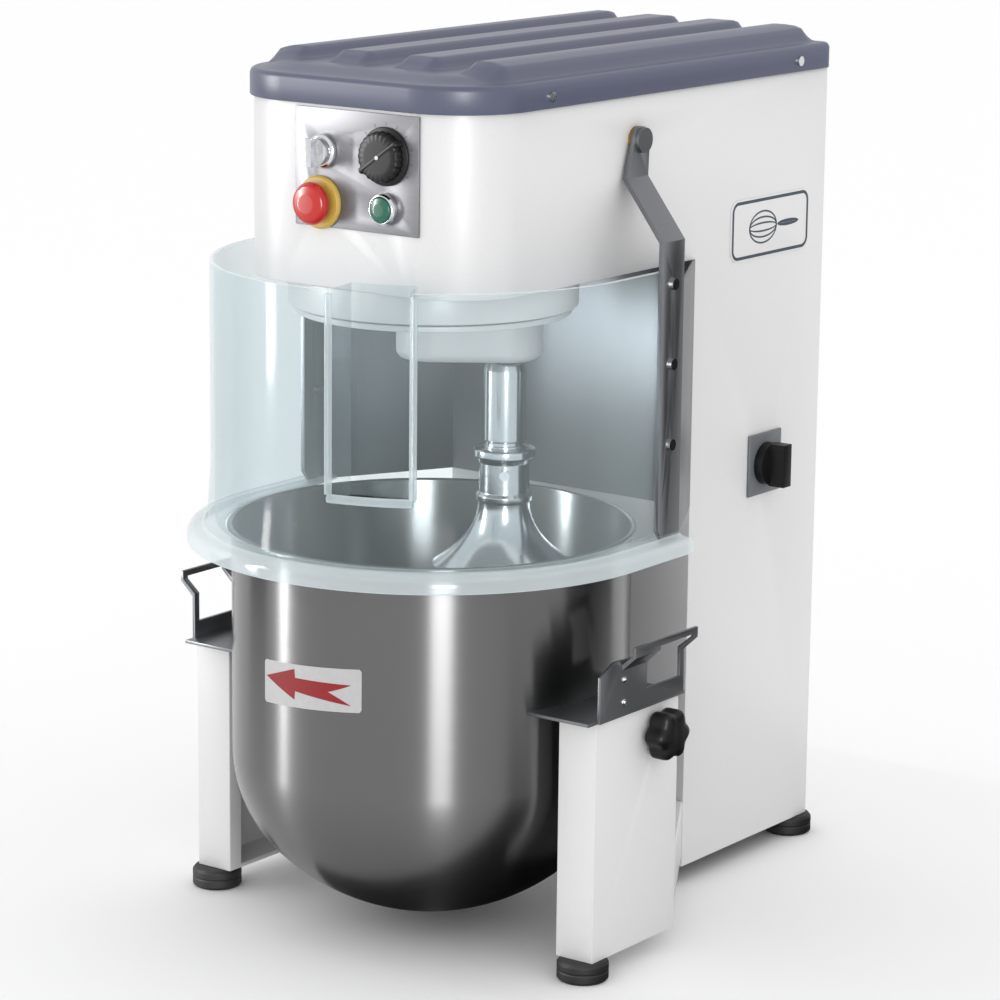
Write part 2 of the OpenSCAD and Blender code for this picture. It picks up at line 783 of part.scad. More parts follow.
placed() housing();
placed() lid();
placed() rear_cover();
placed() base_plate();
placed() leg_left();
placed() leg_right();
placed() cradle_arms();
placed() feet();
placed() gear_housing();
placed() ring_gear();
placed() spindle_bearings();
placed() control_panel();
placed() switch_bodies();
placed() e_stop_collar();
placed() e_stop_button();
placed() start_bezel();
placed() start_button();
placed() selector_bezel();
placed() selector_knob();
placed() speed_knob();
placed() main_switch_plate();
placed() main_switch_knob();
placed() badge_plate();
placed() lid_screws();
placed() rear_cover_screws();
placed() rear_shield();
placed() motor();
placed() motor_plate();
placed() motor_shaft();
placed() motor_pulley();
placed() drive_belt();
placed() driven_pulley();
placed() main_spindle();
placed() planet_carrier();
placed() tool_bearing();
placed() tool_shaft();
placed() pinion();
placed() drive_pin();
placed() whisk_hub();
placed() whisk_wires();
placed() bowl();
placed() bowl_bracket_left();
placed() bowl_bracket_right();
placed() rotation_label();
placed() clamp_knob_left();
placed() clamp_knob_right();
placed() guard_shell();
placed() guard_chute();
placed() guard_arm_left();
placed() guard_arm_right();
placed() guard_screws();
placed() guard_pivot_pins();
placed() pivot_bushes();
placed() guard_switch();
placed() inverter();
placed() cable_gland();
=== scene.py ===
# %% [markdown]
# # A planetary dough mixer
# The frame holds every part of the machine at its real size, and each part already moves with its
# body. This script gives the parts their looks: it rounds the folded sheet metal, replaces the
# turned, blown and moulded parts with smoother surfaces, and builds a material for each finish.

# %% Load the frame
import json
from math import radians

import bmesh
import bpy
import numpy as np
from mathutils import Matrix, Vector

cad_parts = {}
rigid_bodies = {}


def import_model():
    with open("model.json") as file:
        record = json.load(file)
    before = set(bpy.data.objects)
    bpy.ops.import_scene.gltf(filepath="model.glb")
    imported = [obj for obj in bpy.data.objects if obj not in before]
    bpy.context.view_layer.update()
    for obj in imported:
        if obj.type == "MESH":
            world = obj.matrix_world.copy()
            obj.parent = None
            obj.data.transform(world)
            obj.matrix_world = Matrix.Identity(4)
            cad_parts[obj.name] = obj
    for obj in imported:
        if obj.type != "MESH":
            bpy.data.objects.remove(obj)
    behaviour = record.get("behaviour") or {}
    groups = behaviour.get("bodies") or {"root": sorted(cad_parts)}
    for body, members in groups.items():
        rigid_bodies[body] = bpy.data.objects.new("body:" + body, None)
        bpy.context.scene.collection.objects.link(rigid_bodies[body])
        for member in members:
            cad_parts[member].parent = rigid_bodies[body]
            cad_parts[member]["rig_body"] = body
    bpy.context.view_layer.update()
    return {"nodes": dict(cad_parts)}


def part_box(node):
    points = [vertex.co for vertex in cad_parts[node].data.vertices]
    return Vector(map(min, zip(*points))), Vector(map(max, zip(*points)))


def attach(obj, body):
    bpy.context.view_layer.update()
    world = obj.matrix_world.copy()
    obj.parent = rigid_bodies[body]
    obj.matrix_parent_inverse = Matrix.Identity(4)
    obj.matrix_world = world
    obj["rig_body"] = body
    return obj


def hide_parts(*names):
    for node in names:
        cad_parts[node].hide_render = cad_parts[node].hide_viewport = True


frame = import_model()
nodes = frame["nodes"]
print("parts in the frame:", len(nodes))

# %% [markdown]
# ## Camera
# A long lens a few metres away, a little above the bowl and to the right of the controls. A long
# lens keeps upright edges nearly parallel. The camera's own axes are built from its azimuth, its
# elevation and a small roll, and go straight into its matrix.

# %% Camera
LENS_MM = 134
SENSOR_MM = 36
CAMERA_AT = Vector((2.143, -2.943, 1.215))
azimuth = radians(36.21)
elevation = radians(12.60)
roll = radians(0.65)

back = Vector((np.sin(azimuth) * np.cos(elevation), -np.cos(azimuth) * np.cos(elevation), np.sin(elevation)))
level = Vector((np.cos(azimuth), np.sin(azimuth), 0))
upright = back.cross(level)
right = np.cos(roll) * level + np.sin(roll) * upright
up = np.cos(roll) * upright - np.sin(roll) * level

camera_data = bpy.data.cameras.new("camera")
camera_data.lens = LENS_MM
camera_data.sensor_width = SENSOR_MM
camera = bpy.data.objects.new("camera", camera_data)
camera.matrix_world = Matrix.Translation(CAMERA_AT) @ Matrix((right, up, back)).transposed().to_4x4()
bpy.context.scene.collection.objects.link(camera)
bpy.context.scene.camera = camera

# %% [markdown]
# ## Colours and nodes
# Colours are written as sRGB hex values, as a paint chart gives them, and one function turns them
# into the linear values that shaders use. One more function adds any shader node with its settings.

# %% Colour and node helpers
MM = 0.001


def linear(hex_colour):
    """sRGB hex to linear RGBA: c / 12.92 below 0.04045, else ((c + 0.055) / 1.055) ^ 2.4."""
    srgb = np.array([int(hex_colour[i : i + 2], 16) / 255 for i in (1, 3, 5)])
    rgb = np.where(srgb <= 0.04045, srgb / 12.92, ((srgb + 0.055) / 1.055) ** 2.4)
    return (*rgb.tolist(), 1.0)


def add(tree, kind, settings=None, inputs=None):
    """Adds a shader node. Settings are its properties; an input is a value or another node's output."""
    node = tree.nodes.new("ShaderNode" + kind)
    for key, value in (settings or {}).items():
        setattr(node, key, value)
    for key, value in (inputs or {}).items():
        if isinstance(value, bpy.types.NodeSocket):
            tree.links.new(value, node.inputs[key])
        else:
            node.inputs[key].default_value = value
    return node


def start_material(name, base, roughness, metallic=0.0, **more):
    """A new material with one Principled shader, and its node tree and shader to build on."""
    material = bpy.data.materials.new(name)
    material.use_nodes = True
    tree = material.node_tree
    shader = tree.nodes["Principled BSDF"]
    shader.inputs["Base Color"].default_value = linear(base)
    shader.inputs["Roughness"].default_value = roughness
    shader.inputs["Metallic"].default_value = metallic
    for key, value in more.items():
        shader.inputs[key.replace("_", " ")].default_value = value
    return material, tree, shader


def object_noise(tree, size_mm, stretch=(1, 1, 1), detail=3.0):
    """Noise whose features are about size_mm across, longer along an axis by its stretch."""
    place = add(tree, "TexCoord").outputs["Object"]
    scale = tuple(1 / (size_mm * MM * s) for s in stretch)
    mapped = add(tree, "Mapping", inputs={"Vector": place, "Scale": scale})
    return add(tree, "TexNoise", inputs={"Vector": mapped.outputs["Vector"], "Scale": 1.0, "Detail": detail})


def grain(tree, shader, noise, depth_mm, colours=None, roughness=None):
    """Lets a noise drive a bump of depth_mm, and if given two colours and a roughness range."""
    value = noise.outputs["Fac"]
    bump = add(tree, "Bump", inputs={"Height": value, "Distance": depth_mm * MM, "Strength": 1.0})
    tree.links.new(bump.outputs["Normal"], shader.inputs["Normal"])
    if colours:
        mix = add(tree, "Mix", {"data_type": "RGBA"}, {"Factor": value})
        mix.inputs[6].default_value = linear(colours[0])
        mix.inputs[7].default_value = linear(colours[1])
        tree.links.new(mix.outputs[2], shader.inputs["Base Color"])
    if roughness:
        least, most = roughness
        spread = add(tree, "MapRange", inputs={"Value": value, "To Min": least, "To Max": most})
        tree.links.new(spread.outputs["Result"], shader.inputs["Roughness"])


def grained(
    name, base, roughness, size_mm, depth_mm, colours, spread=None, stretch=(1, 1, 1), detail=3.0, **more
):
    """A whole finish: a Principled shader whose bump, colour and roughness follow one noise."""
    material, tree, shader = start_material(name, base, roughness, **more)
    grain(tree, shader, object_noise(tree, size_mm, stretch, detail), depth_mm, colours, spread)
    return material


def dress(finish, *names):
    """Gives a material to CAD nodes."""
    for name in names:
        nodes[name].data.materials.clear()
        nodes[name].data.materials.append(finish)


# %% [markdown]
# ## Painted and moulded finishes
# Powder coat is sprayed as dust and baked. It flows into a smooth gloss with a fine orange-peel
# waviness, which is a bump of a few hundredths of a millimetre with features some 2 mm across.
# ABS lids and phenolic knobs come out of a mould: their faint grain breaks up the highlight.

# %% White powder coat
powder_coat = grained(
    "powder_coat_white", "#e6e5e5", 0.42, 2.2, 0.02,
    ("#e2e1e1", "#e8e7e7"), Coat_Weight=0.08, Coat_Roughness=0.2,
)
print("powder coat:", len(powder_coat.node_tree.nodes), "nodes")

# %% Blue-grey ABS
abs_lid = grained("abs_blue_grey", "#565a70", 0.38, 1.3, 0.06, ("#52566b", "#5b5f76"), (0.32, 0.46))

# %% Black phenolic and other small mouldings
phenolic = grained(
    "phenolic_black", "#0c0c0d", 0.42, 1.0, 0.02, ("#090909", "#111112"), (0.36, 0.5), Specular_IOR_Level=0.3
)

grey_nylon = grained("nylon_grey", "#6c7074", 0.45, 1.0, 0.02, ("#65696d", "#74787c"))

red_abs = grained(
    "abs_signal_red", "#c4140c", 0.3, 3.0, 0.01, ("#bb1109", "#cc180f"), Coat_Weight=0.2, Coat_Roughness=0.1
)

yellow_abs = grained("abs_yellow", "#d3ae4a", 0.45, 2.0, 0.02, ("#cba541", "#dab755"))

green_lens = grained(
    "polycarbonate_green", "#066049", 0.3, 2.0, 0.01,
    ("#035640", "#0a6a52"), Coat_Weight=0.2, Coat_Roughness=0.1,
)

rubber = grained("rubber_black", "#131313", 0.62, 1.2, 0.08, ("#0e0e0e", "#1c1b1b"), (0.5, 0.72))

# %% [markdown]
# ## Metals
# Stainless sheet is brushed with an abrasive belt. Its scratches all run one way, and they smear a
# reflection across themselves, which is what anisotropy does. The bowl is brushed round its axis,
# so the lights stand in it as upright bands. Real scratches are some 0.05 mm apart. They are drawn
# about 1 mm apart here, so that they show at all.

# %% Brushed bowl steel
bowl_steel, tree, shader = start_material(
    "stainless_brushed_bowl", "#6c6c6c", 0.25, 1.0, Anisotropic=0.9, Anisotropic_Rotation=0.25
)
grain(tree, shader, object_noise(tree, 1.0, (40, 40, 1)), 0.004, ("#696969", "#707070"), (0.23, 0.28))
around = add(tree, "Tangent", {"direction_type": "RADIAL", "axis": "Z"})
tree.links.new(around.outputs["Tangent"], shader.inputs["Tangent"])

# %% Dark stainless of the arms, the shield and the brackets
dark_stainless = grained(
    "stainless_dark_brushed", "#7a7b7e", 0.38, 1.0, 0.005,
    ("#757679", "#7f8184"), (0.36, 0.42), metallic=1.0, stretch=(1, 1, 30),
)

# %% Satin panel, polished tool steel, bright plating
panel_steel = grained(
    "stainless_satin_panel", "#7d7d80", 0.5, 0.8, 0.01,
    ("#77777a", "#858588"), (0.44, 0.56), metallic=1.0, stretch=(40, 1, 1),
)

tool_steel = grained(
    "stainless_polished_tool", "#c6c9cb", 0.16, 1.5, 0.006,
    ("#bfc2c4", "#cfd2d4"), (0.11, 0.24), metallic=1.0, stretch=(6, 6, 1),
)

chrome = grained(
    "chrome_plate", "#d4d5d7", 0.08, 4.0, 0.004, ("#cfd0d2", "#dadbdd"), (0.05, 0.13), metallic=1.0
)

machined = grained(
    "steel_machined", "#a3a3a2", 0.34, 0.8, 0.02,
    ("#989897", "#aeaead"), (0.28, 0.42), metallic=1.0, stretch=(6, 6, 1),
)

bronze = grained(
    "bronze_sintered", "#a8803c", 0.45, 0.6, 0.02, ("#9a7434", "#b58d49"), (0.38, 0.55), metallic=1.0
)

aluminium = grained(
    "aluminium_cast", "#a5a8aa", 0.5, 1.4, 0.06, ("#9a9d9f", "#b0b3b5"), (0.42, 0.6), metallic=1.0
)

zinc = grained(
    "steel_zinc_plated", "#a9abac", 0.4, 14, 0.01,
    ("#9b9d9e", "#b6b8ba"), (0.32, 0.5), metallic=1.0, detail=6.0,
)

# %% [markdown]
# ## Clear polycarbonate
# The guard is blown from blue-tinted clear sheet. A Transparent shader passes the tinted light
# straight on, as thin sheet does, and a glossy one lies over it. Seen edge-on the sheet is thicker
# and stronger in colour, so Layer Weight gives the gloss a larger share there. Cut edges collect
# the light inside the sheet and look pale and bright. That glow is painted highlight: a second,
# paler and more opaque material for the guard's top edge, its brim and the chute's bead.


# %% Clear sheet, and the painted highlight of its edges
def clear_plastic(name, tint, body, least, most):
    """See-through plastic: the share of its solid shader goes from least face-on to most edge-on."""
    material, tree, shader = start_material(name, body, 0.09)
    grain(tree, shader, object_noise(tree, 90), 0.12)
    facing = add(tree, "LayerWeight", inputs={"Blend": 0.35})
    share = add(tree, "MapRange", inputs={"Value": facing.outputs["Facing"], "To Min": least, "To Max": most})
    clear = add(tree, "BsdfTransparent", inputs={"Color": linear(tint)})
    mixed = add(tree, "MixShader", inputs={"Fac": share.outputs["Result"]})
    tree.links.new(clear.outputs["BSDF"], mixed.inputs[1])
    tree.links.new(shader.outputs["BSDF"], mixed.inputs[2])
    tree.links.new(mixed.outputs["Shader"], tree.nodes["Material Output"].inputs["Surface"])
    return material


polycarbonate = clear_plastic("polycarbonate_clear_blue", "#fafdfe", "#d6e2e5", 0.06, 0.40)
# Painted highlight: a paler, more opaque clear material that paints on the glow of the sheet's edges.
polycarbonate_painted_highlight = clear_plastic("polycarbonate_painted_highlight", "#f6fafb", "#f2f9fb", 0.32, 0.75)

# %% [markdown]
# ## Printed vinyl
# The label on the bowl and the badge on the side are printed film: a satin sheet with a slight
# unevenness where it lies on the metal.

# %% Vinyl and inks
vinyl = grained("vinyl_label", "#bdbcbd", 0.4, 5, 0.02, ("#b5b4b5", "#c4c3c4"))

red_ink = grained("ink_red", "#8f0b14", 0.55, 4, 0.01, ("#850911", "#990f19"), Specular_IOR_Level=0.3)

blue_ink = grained("ink_dark_blue", "#44505c", 0.4, 4, 0.01, ("#3d4853", "#4c5865"))

white_ink = grained("ink_white", "#dcdcdc", 0.4, 3, 0.01, ("#d2d2d2", "#e6e6e6"))

# %% [markdown]
# ## Making surfaces
# Every new piece is a grid of points worked out with whole arrays. Three ways cover this machine:
# a profile turned about an axis, a ring that is moved in and lifted along a profile, and a round
# section carried along a path.


# %% Mesh helpers
def make_piece(name, points, faces, finish, sharp_degrees=38):
    """Puts arrays into a mesh, merges doubles, points faces outwards and smooths all but sharp edges."""
    mesh = bpy.data.meshes.new(name)
    points = np.asarray(points, float).reshape(-1, 3).tolist()
    mesh.from_pydata(points, [], [list(map(int, face)) for face in faces])
    bm = bmesh.new()
    bm.from_mesh(mesh)
    bmesh.ops.remove_doubles(bm, verts=bm.verts, dist=1e-6)
    bmesh.ops.recalc_face_normals(bm, faces=bm.faces)
    bm.to_mesh(mesh)
    bm.free()
    mesh.shade_smooth()
    mesh.set_sharp_from_angle(angle=radians(sharp_degrees))
    mesh.materials.append(finish)
    piece = bpy.data.objects.new(name, mesh)
    bpy.context.scene.collection.objects.link(piece)
    return piece


def quads(rows, cols, close_rows=False, close_cols=False, first=0):
    """Faces of a rows x cols grid of points, numbered row by row from first."""
    down, across = rows - (not close_rows), cols - (not close_cols)
    i, j = np.meshgrid(np.arange(down), np.arange(across), indexing="ij")
    i2, j2 = (i + 1) % rows, (j + 1) % cols
    corners = np.stack([i * cols + j, i * cols + j2, i2 * cols + j2, i2 * cols + j], -1)
    return first + corners.reshape(-1, 4)


def filleted(corners, steps=7):
    """A polyline through corners (x, y, radius) with every corner turned into an arc of its radius:
    the arc starts radius / tan(half the corner's angle) before the corner, on both sides."""
    out = []
    for k, (x, y, radius) in enumerate(corners):
        here = np.array([x, y], float)
        if radius == 0 or k in (0, len(corners) - 1):
            out.append(here[None])
            continue
        before = np.array(corners[k - 1][:2]) - here
        after = np.array(corners[k + 1][:2]) - here
        before, after = before / np.linalg.norm(before), after / np.linalg.norm(after)
        half = np.arccos(np.clip(before @ after, -1, 1)) / 2
        middle = here + (before + after) / np.linalg.norm(before + after) * radius / np.sin(half)
        a, b = here + before * radius / np.tan(half) - middle, here + after * radius / np.tan(half) - middle
        span = np.arctan2(a[0] * b[1] - a[1] * b[0], a @ b)
        t = np.linspace(0, span, steps)[:, None]
        across = np.array([-a[1], a[0]])
        out.append(middle + np.cos(t) * a + np.sin(t) * across)
    return np.concatenate(out)


# The directions that a piece's own x, y and height take in the machine.
FACING = {
    "up": np.eye(3),
    "front": np.array([[1, 0, 0], [0, 0, 1], [0, -1, 0]], float),
    "right": np.array([[0, 1, 0], [0, 0, 1], [1, 0, 0]], float),
    "left": np.array([[0, -1, 0], [0, 0, 1], [-1, 0, 0]], float),
}


def placed(local_mm, at, facing):
    """Local points in millimetres to the machine's frame in metres: at + x * X + y * Y + h * H."""
    return np.asarray(local_mm) * MM @ FACING[facing] + np.asarray(at)


def turned(name, profile, at, finish, facing="up", steps=128, sharp_degrees=38):
    """A turned piece: each (radius, height) in mm becomes a ring (r cos a, r sin a, h)."""
    radius, height = np.asarray(profile, float).T
    a = np.linspace(0, 2 * np.pi, steps, endpoint=False)
    x, y = np.outer(radius, np.cos(a)), np.outer(radius, np.sin(a))
    ring = np.stack([x, y, np.outer(height, np.ones(steps))], -1)
    faces = quads(len(radius), steps, close_cols=True)
    return make_piece(name, placed(ring, at, facing), faces, finish, sharp_degrees)


def rings_of(outline, profile):
    """One ring of points for each (inset, height) of a profile: outline(inset), lifted to height."""
    rings = []
    for inset, height in np.asarray(profile, float):
        ring = outline(inset)
        rings.append(np.column_stack([ring, np.full(len(ring), height)]))
    return np.stack(rings)


def ringed(name, outline, profile, at, finish, facing="up", sharp_degrees=38):
    """A piece built of rings. The first and the last ring are closed with a face."""
    rings = rings_of(outline, profile)
    rows, cols = rings.shape[:2]
    faces = quads(rows, cols, close_cols=True).tolist()
    faces += [list(range(cols)), list(range((rows - 1) * cols, rows * cols))]
    return make_piece(name, placed(rings, at, facing), faces, finish, sharp_degrees)


def tube(name, path, side, radius_mm, finish, closed=False, sides=14):
    """A round bar along a path that lies in one plane: path + r (cos a * side + sin a * normal),
    where side is the plane's own direction and normal is square to it and to the path."""
    path = np.asarray(path, float)
    ahead = np.roll(path, -1, 0) - np.roll(path, 1, 0) if closed else np.gradient(path, axis=0)
    ahead /= np.linalg.norm(ahead, axis=1, keepdims=True)
    side = np.broadcast_to(np.asarray(side, float), path.shape)
    normal = np.cross(ahead, side)
    a = np.linspace(0, 2 * np.pi, sides, endpoint=False)[None, :, None]
    points = path[:, None] + radius_mm * MM * (np.cos(a) * side[:, None] + np.sin(a) * normal[:, None])
    faces = quads(len(path), sides, close_rows=closed, close_cols=True).tolist()
    if not closed:
        faces += [list(range(sides)), list(range((len(path) - 1) * sides, len(path) * sides))]
    return make_piece(name, points, faces, finish)


# %% Outlines
def round_rectangle(half_x, half_y, corner, steps=9):
    """Outline of a rectangle with quarter circles at its corners, whose radius shrinks by inset."""
    quarter = np.linspace(0, np.pi / 2, steps)
    angle = np.concatenate([quarter + k * np.pi / 2 for k in range(4)])
    sign = np.repeat([[1, 1], [-1, 1], [-1, -1], [1, -1]], steps, axis=0)

    def outline(inset):
        r = max(corner - inset, 0.05)
        middle = sign * [half_x - inset - r, half_y - inset - r]
        return middle + r * np.column_stack([np.cos(angle), np.sin(angle)])

    return outline


def lobed(radius, lobes, depth, count=192):
    """Outline of a grip: r = radius - inset - depth * (1 - cos(lobes * a)) / 2."""
    a = np.linspace(0, 2 * np.pi, count, endpoint=False)
    wave = depth * (1 - np.cos(lobes * a)) / 2
    return lambda inset: (radius - inset - wave)[:, None] * np.column_stack([np.cos(a), np.sin(a)])


# %% [markdown]
# ## Folded sheet and machined parts
# Their shape is right already, but nothing folded from sheet has a razor edge. A copy of each is
# merged, its flat faces are joined, and the Bevel modifier rounds its edges by the fold's radius.
# The copy stands for the part, so the part itself is never changed.


# %% Rounded copies
def softened(node, finish, radius_mm, segments=3, angle_degrees=34):
    """A merged copy of a node with its edges rounded, riding on the node's own body."""
    mesh = bpy.data.meshes.new(node + "_rounded")
    bm = bmesh.new()
    bm.from_mesh(nodes[node].data)
    bmesh.ops.remove_doubles(bm, verts=bm.verts, dist=1e-5)
    bmesh.ops.dissolve_limit(bm, angle_limit=radians(0.5), verts=bm.verts, edges=bm.edges)
    bm.to_mesh(mesh)
    bm.free()
    piece = bpy.data.objects.new(node + "_rounded", mesh)
    bpy.context.scene.collection.objects.link(piece)
    bevel = piece.modifiers.new("fold", "BEVEL")
    bevel.width = radius_mm * MM
    bevel.segments = segments
    bevel.limit_method = "ANGLE"
    bevel.angle_limit = radians(angle_degrees)
    bevel.use_clamp_overlap = True
    bpy.context.view_layer.update()
    done = bpy.data.meshes.new_from_object(piece.evaluated_get(bpy.context.evaluated_depsgraph_get()))
    piece.modifiers.clear()
    piece.data = done
    done.materials.clear()
    done.materials.append(finish)
    done.shade_smooth()
    done.set_sharp_from_angle(angle=radians(angle_degrees))
    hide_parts(node)
    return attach(piece, nodes[node]["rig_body"])


for node in ("leg_left", "leg_right", "cradle_arms", "gear_housing"):
    softened(node, powder_coat, 1.4)
softened("housing", powder_coat, 1.6)
softened("rear_cover", powder_coat, 0.6, 2)
for node in ("guard_arm_left", "guard_arm_right", "rear_shield"):
    softened(node, dark_stainless, 0.7, 2)
for node in ("bowl_bracket_left", "bowl_bracket_right"):
    softened(node, dark_stainless, 0.8, 2)
softened("control_panel", panel_steel, 0.4, 2)
softened("main_switch_plate", grey_nylon, 0.9, 2)
softened("main_switch_knob", phenolic, 1.6)
softened("selector_knob", chrome, 1.4)
softened("guard_switch", yellow_abs, 1.0, 2)
softened("motor", aluminium, 1.2, 2)
softened("inverter", aluminium, 1.0, 2)

# %% Finishes of the parts that keep their own shape
dress(zinc, "base_plate", "motor_plate")
dress(machined, "ring_gear", "pinion", "spindle_bearings", "tool_bearing", "driven_pulley", "motor_pulley")
dress(tool_steel, "main_spindle", "motor_shaft")
dress(chrome, "lid_screws", "rear_cover_screws", "drive_pin")
dress(dark_stainless, "guard_pivot_pins")
dress(phenolic, "switch_bodies", "cable_gland")
dress(rubber, "drive_belt")
dress(bronze, "pivot_bushes")

# %% [markdown]
# ## Places that the pieces share
# Everything is worked out from the frame's own boxes: the bowl's axis, its rim and lowest point,
# the tool's axis and the face of the control panel.


# %% Shared places
def middle(node):
    """Middle of a node's box."""
    low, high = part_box(node)
    return np.array((low + high) / 2)


bowl_low, bowl_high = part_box("bowl")
axis = np.array([middle("bowl")[0], middle("bowl")[1], 0.0])
BEAD = 3.0
BEAD_OUT = 1.5
bowl_r = (bowl_high.x - bowl_low.x) / 2 / MM - BEAD - BEAD_OUT
rim_z = bowl_high.z / MM - 1
floor_z = bowl_low.z / MM
tool_axis = np.array([middle("tool_shaft")[0], middle("tool_shaft")[1], 0.0])
panel_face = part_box("control_panel")[0].y
print("bowl radius", round(bowl_r, 1), "mm, rim at", round(rim_z, 1), "mm")


def on_panel(node):
    """The point of the panel's face in front of a control."""
    x, _, z = middle(node)
    return np.array([x, panel_face, z])


# %% [markdown]
# ## Lid
# A moulded cover with a skirt that hangs over the steel, a rounded shoulder, and four wide ribs
# that stiffen it from front to back. It is one height field: the height at a point depends on its
# distance from the outline and on whether a rib passes under it.

# %% Lid
lid_low, lid_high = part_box("lid")
LID_HALF = (lid_high.x - lid_low.x) / 2 / MM
LID_FRONT, LID_BACK = lid_low.y / MM, lid_high.y / MM
LID_BASE, LID_TOP = lid_low.z / MM, lid_high.z / MM
FRONT_CORNER = 77.0
BACK_CORNER = 12.0
SKIRT = 26.0
SHOULDER = 6.0
PLATEAU = 7.0
SLOPE_RUN = 34.0
LID_WALL = 3.5
UNDER_Z = LID_BASE + 20
RIBS_AT = (-117, -39, 39, 117)
RIB_HALF = 25.0
RIB_SLOPE = 11.0
RIB_FRONT, FRONT_FADE = 52.0, 16.0
RIB_BACK, BACK_FADE = 16.0, 14.0


def smooth(t):
    """3 t^2 - 2 t^3, held at 0 and 1 outside."""
    t = np.clip(t, 0, 1)
    return t * t * (3 - 2 * t)


def lid_plan(inset, cols=97, corner_rows=14, straight_rows=90):
    """Grid over the lid's plan moved in by inset. Rows run across; a row's half width follows the
    front corner's arc, then the straight side, then the small arc at the back."""
    front_r, back_r = FRONT_CORNER - inset, BACK_CORNER - inset
    a = np.linspace(0, np.pi / 2, corner_rows)
    y_front = LID_FRONT + FRONT_CORNER - front_r * np.cos(a)
    y_back = LID_BACK - BACK_CORNER + back_r * np.sin(a)
    y = np.concatenate([y_front, np.linspace(y_front[-1], y_back[0], straight_rows)[1:-1], y_back])
    half = np.concatenate(
        [
            LID_HALF - FRONT_CORNER + front_r * np.sin(a),
            np.full(straight_rows - 2, LID_HALF - inset),
            LID_HALF - BACK_CORNER + back_r * np.cos(a),
        ]
    )
    u = np.linspace(-1, 1, cols)
    return np.outer(half, u), np.repeat(y[:, None], cols, 1)


def edge_of(grid):
    """The outer ring of a grid, in order: front row, right side, back row, left side."""
    return np.concatenate([grid[0], grid[1:, -1], grid[-1, -2::-1], grid[-2:0:-1, 0]])


def inside_distance(x, y):
    """Distance from the outline, inwards: a rectangle's, rounded by the corner on that side."""
    r = np.where(y < (LID_FRONT + LID_BACK) / 2, FRONT_CORNER, BACK_CORNER)
    dx = np.abs(x) - (LID_HALF - r)
    dy = np.abs(y - (LID_FRONT + LID_BACK) / 2) - ((LID_BACK - LID_FRONT) / 2 - r)
    outside = np.hypot(np.maximum(dx, 0), np.maximum(dy, 0))
    return r - outside - np.minimum(np.maximum(dx, dy), 0)


def lid_height(x, y):
    """Skirt height, plus the slope behind the shoulder, plus the ribs."""
    d = inside_distance(x, y)
    slope = PLATEAU * smooth((d - SHOULDER) / SLOPE_RUN)
    across = np.zeros_like(x)
    for rib in RIBS_AT:
        across = np.maximum(across, 1 - smooth((np.abs(x - rib) - RIB_HALF + RIB_SLOPE) / RIB_SLOPE))
    along = smooth((y - LID_FRONT - RIB_FRONT) / FRONT_FADE) * smooth((LID_BACK - RIB_BACK - y) / BACK_FADE)
    top = LID_TOP - LID_BASE - SKIRT - PLATEAU
    return LID_BASE + SKIRT + slope + top * across * along * smooth((d - 8) / 14)


arc = np.linspace(0, np.pi / 2, 8)
wall = [(LID_WALL, UNDER_Z), (LID_WALL, LID_BASE + 1), (2.8, LID_BASE), (0.6, LID_BASE)]
wall += [(0.0, LID_BASE + 0.8)]
wall += [(SHOULDER * (1 - np.cos(t)), LID_BASE + SKIRT - SHOULDER + SHOULDER * np.sin(t)) for t in arc]
rings = []
for inset, z in wall:
    gx, gy = lid_plan(inset)
    ex, ey = edge_of(gx), edge_of(gy)
    rings.append(np.stack([ex, ey, np.full(len(ex), z)], -1))
top_x, top_y = lid_plan(SHOULDER)
top = np.stack([top_x, top_y, lid_height(top_x, top_y)], -1)
under_x, under_y = lid_plan(LID_WALL)
under = np.stack([under_x, under_y, np.full_like(under_x, UNDER_Z)], -1)
ring_points = np.concatenate(rings)
cells = quads(*top_x.shape)
faces = np.concatenate(
    [
        quads(len(rings), len(rings[0]), close_cols=True),
        cells + len(ring_points),
        cells + len(ring_points) + top_x.size,
    ]
)
lid_points = np.concatenate([ring_points, top.reshape(-1, 3), under.reshape(-1, 3)])
lid = make_piece("lid_moulding", lid_points * MM, faces, abs_lid, 50)
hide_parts("lid")
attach(lid, "frame")
print("lid faces:", len(lid.data.polygons))

# %% [markdown]
# ## Bowl
# The bowl is spun from 2 mm stainless sheet: a straight wall, a knuckle arc and a flatter crown arc
# below it, and a rim rolled into a bead. Both arcs share their tangent where they meet, because
# their centres lie on one line with that point.

# %% Bowl
KNUCKLE = 140.0
WALL_LOW = floor_z + 163
SHEET = 2.0
knuckle_x = bowl_r - KNUCKLE
depth = WALL_LOW - floor_z
rise = (knuckle_x**2 - (depth - KNUCKLE) ** 2) / (2 * (depth - KNUCKLE))
crown = depth + rise
join = np.arctan2(-rise, knuckle_x)


def bowl_section(inset):
    """Half section from the bottom to the wall's foot: the crown arc, then the knuckle arc."""
    t = np.linspace(-np.pi / 2, join, 26)[:-1]
    s = np.linspace(join, 0, 30)
    crown_r, knuckle_r = crown - inset, KNUCKLE - inset
    low = np.column_stack([crown_r * np.cos(t), WALL_LOW + rise + crown_r * np.sin(t)])
    side = np.column_stack([knuckle_x + knuckle_r * np.cos(s), WALL_LOW + knuckle_r * np.sin(s)])
    return np.concatenate([low, side])


bead = np.radians(np.linspace(-118, 165, 18))
bead_points = np.column_stack([bowl_r + BEAD_OUT + BEAD * np.cos(bead), rim_z - 2 + BEAD * np.sin(bead)])
outer, inner = bowl_section(0), bowl_section(SHEET)
bowl = turned("bowl_spun", np.concatenate([outer, bead_points, inner[::-1]]), axis, bowl_steel, steps=256)
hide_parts("bowl")
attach(bowl, "bowl")


# %% [markdown]
# ## Arrow label
# A strip of vinyl stuck round the wall, with a red arrow that shows which way the bowl turns out of
# its seat. The arrow's half height is a function of the distance along it: a straight-sided head,
# a shaft that widens slowly, and a notch that forks the tail.


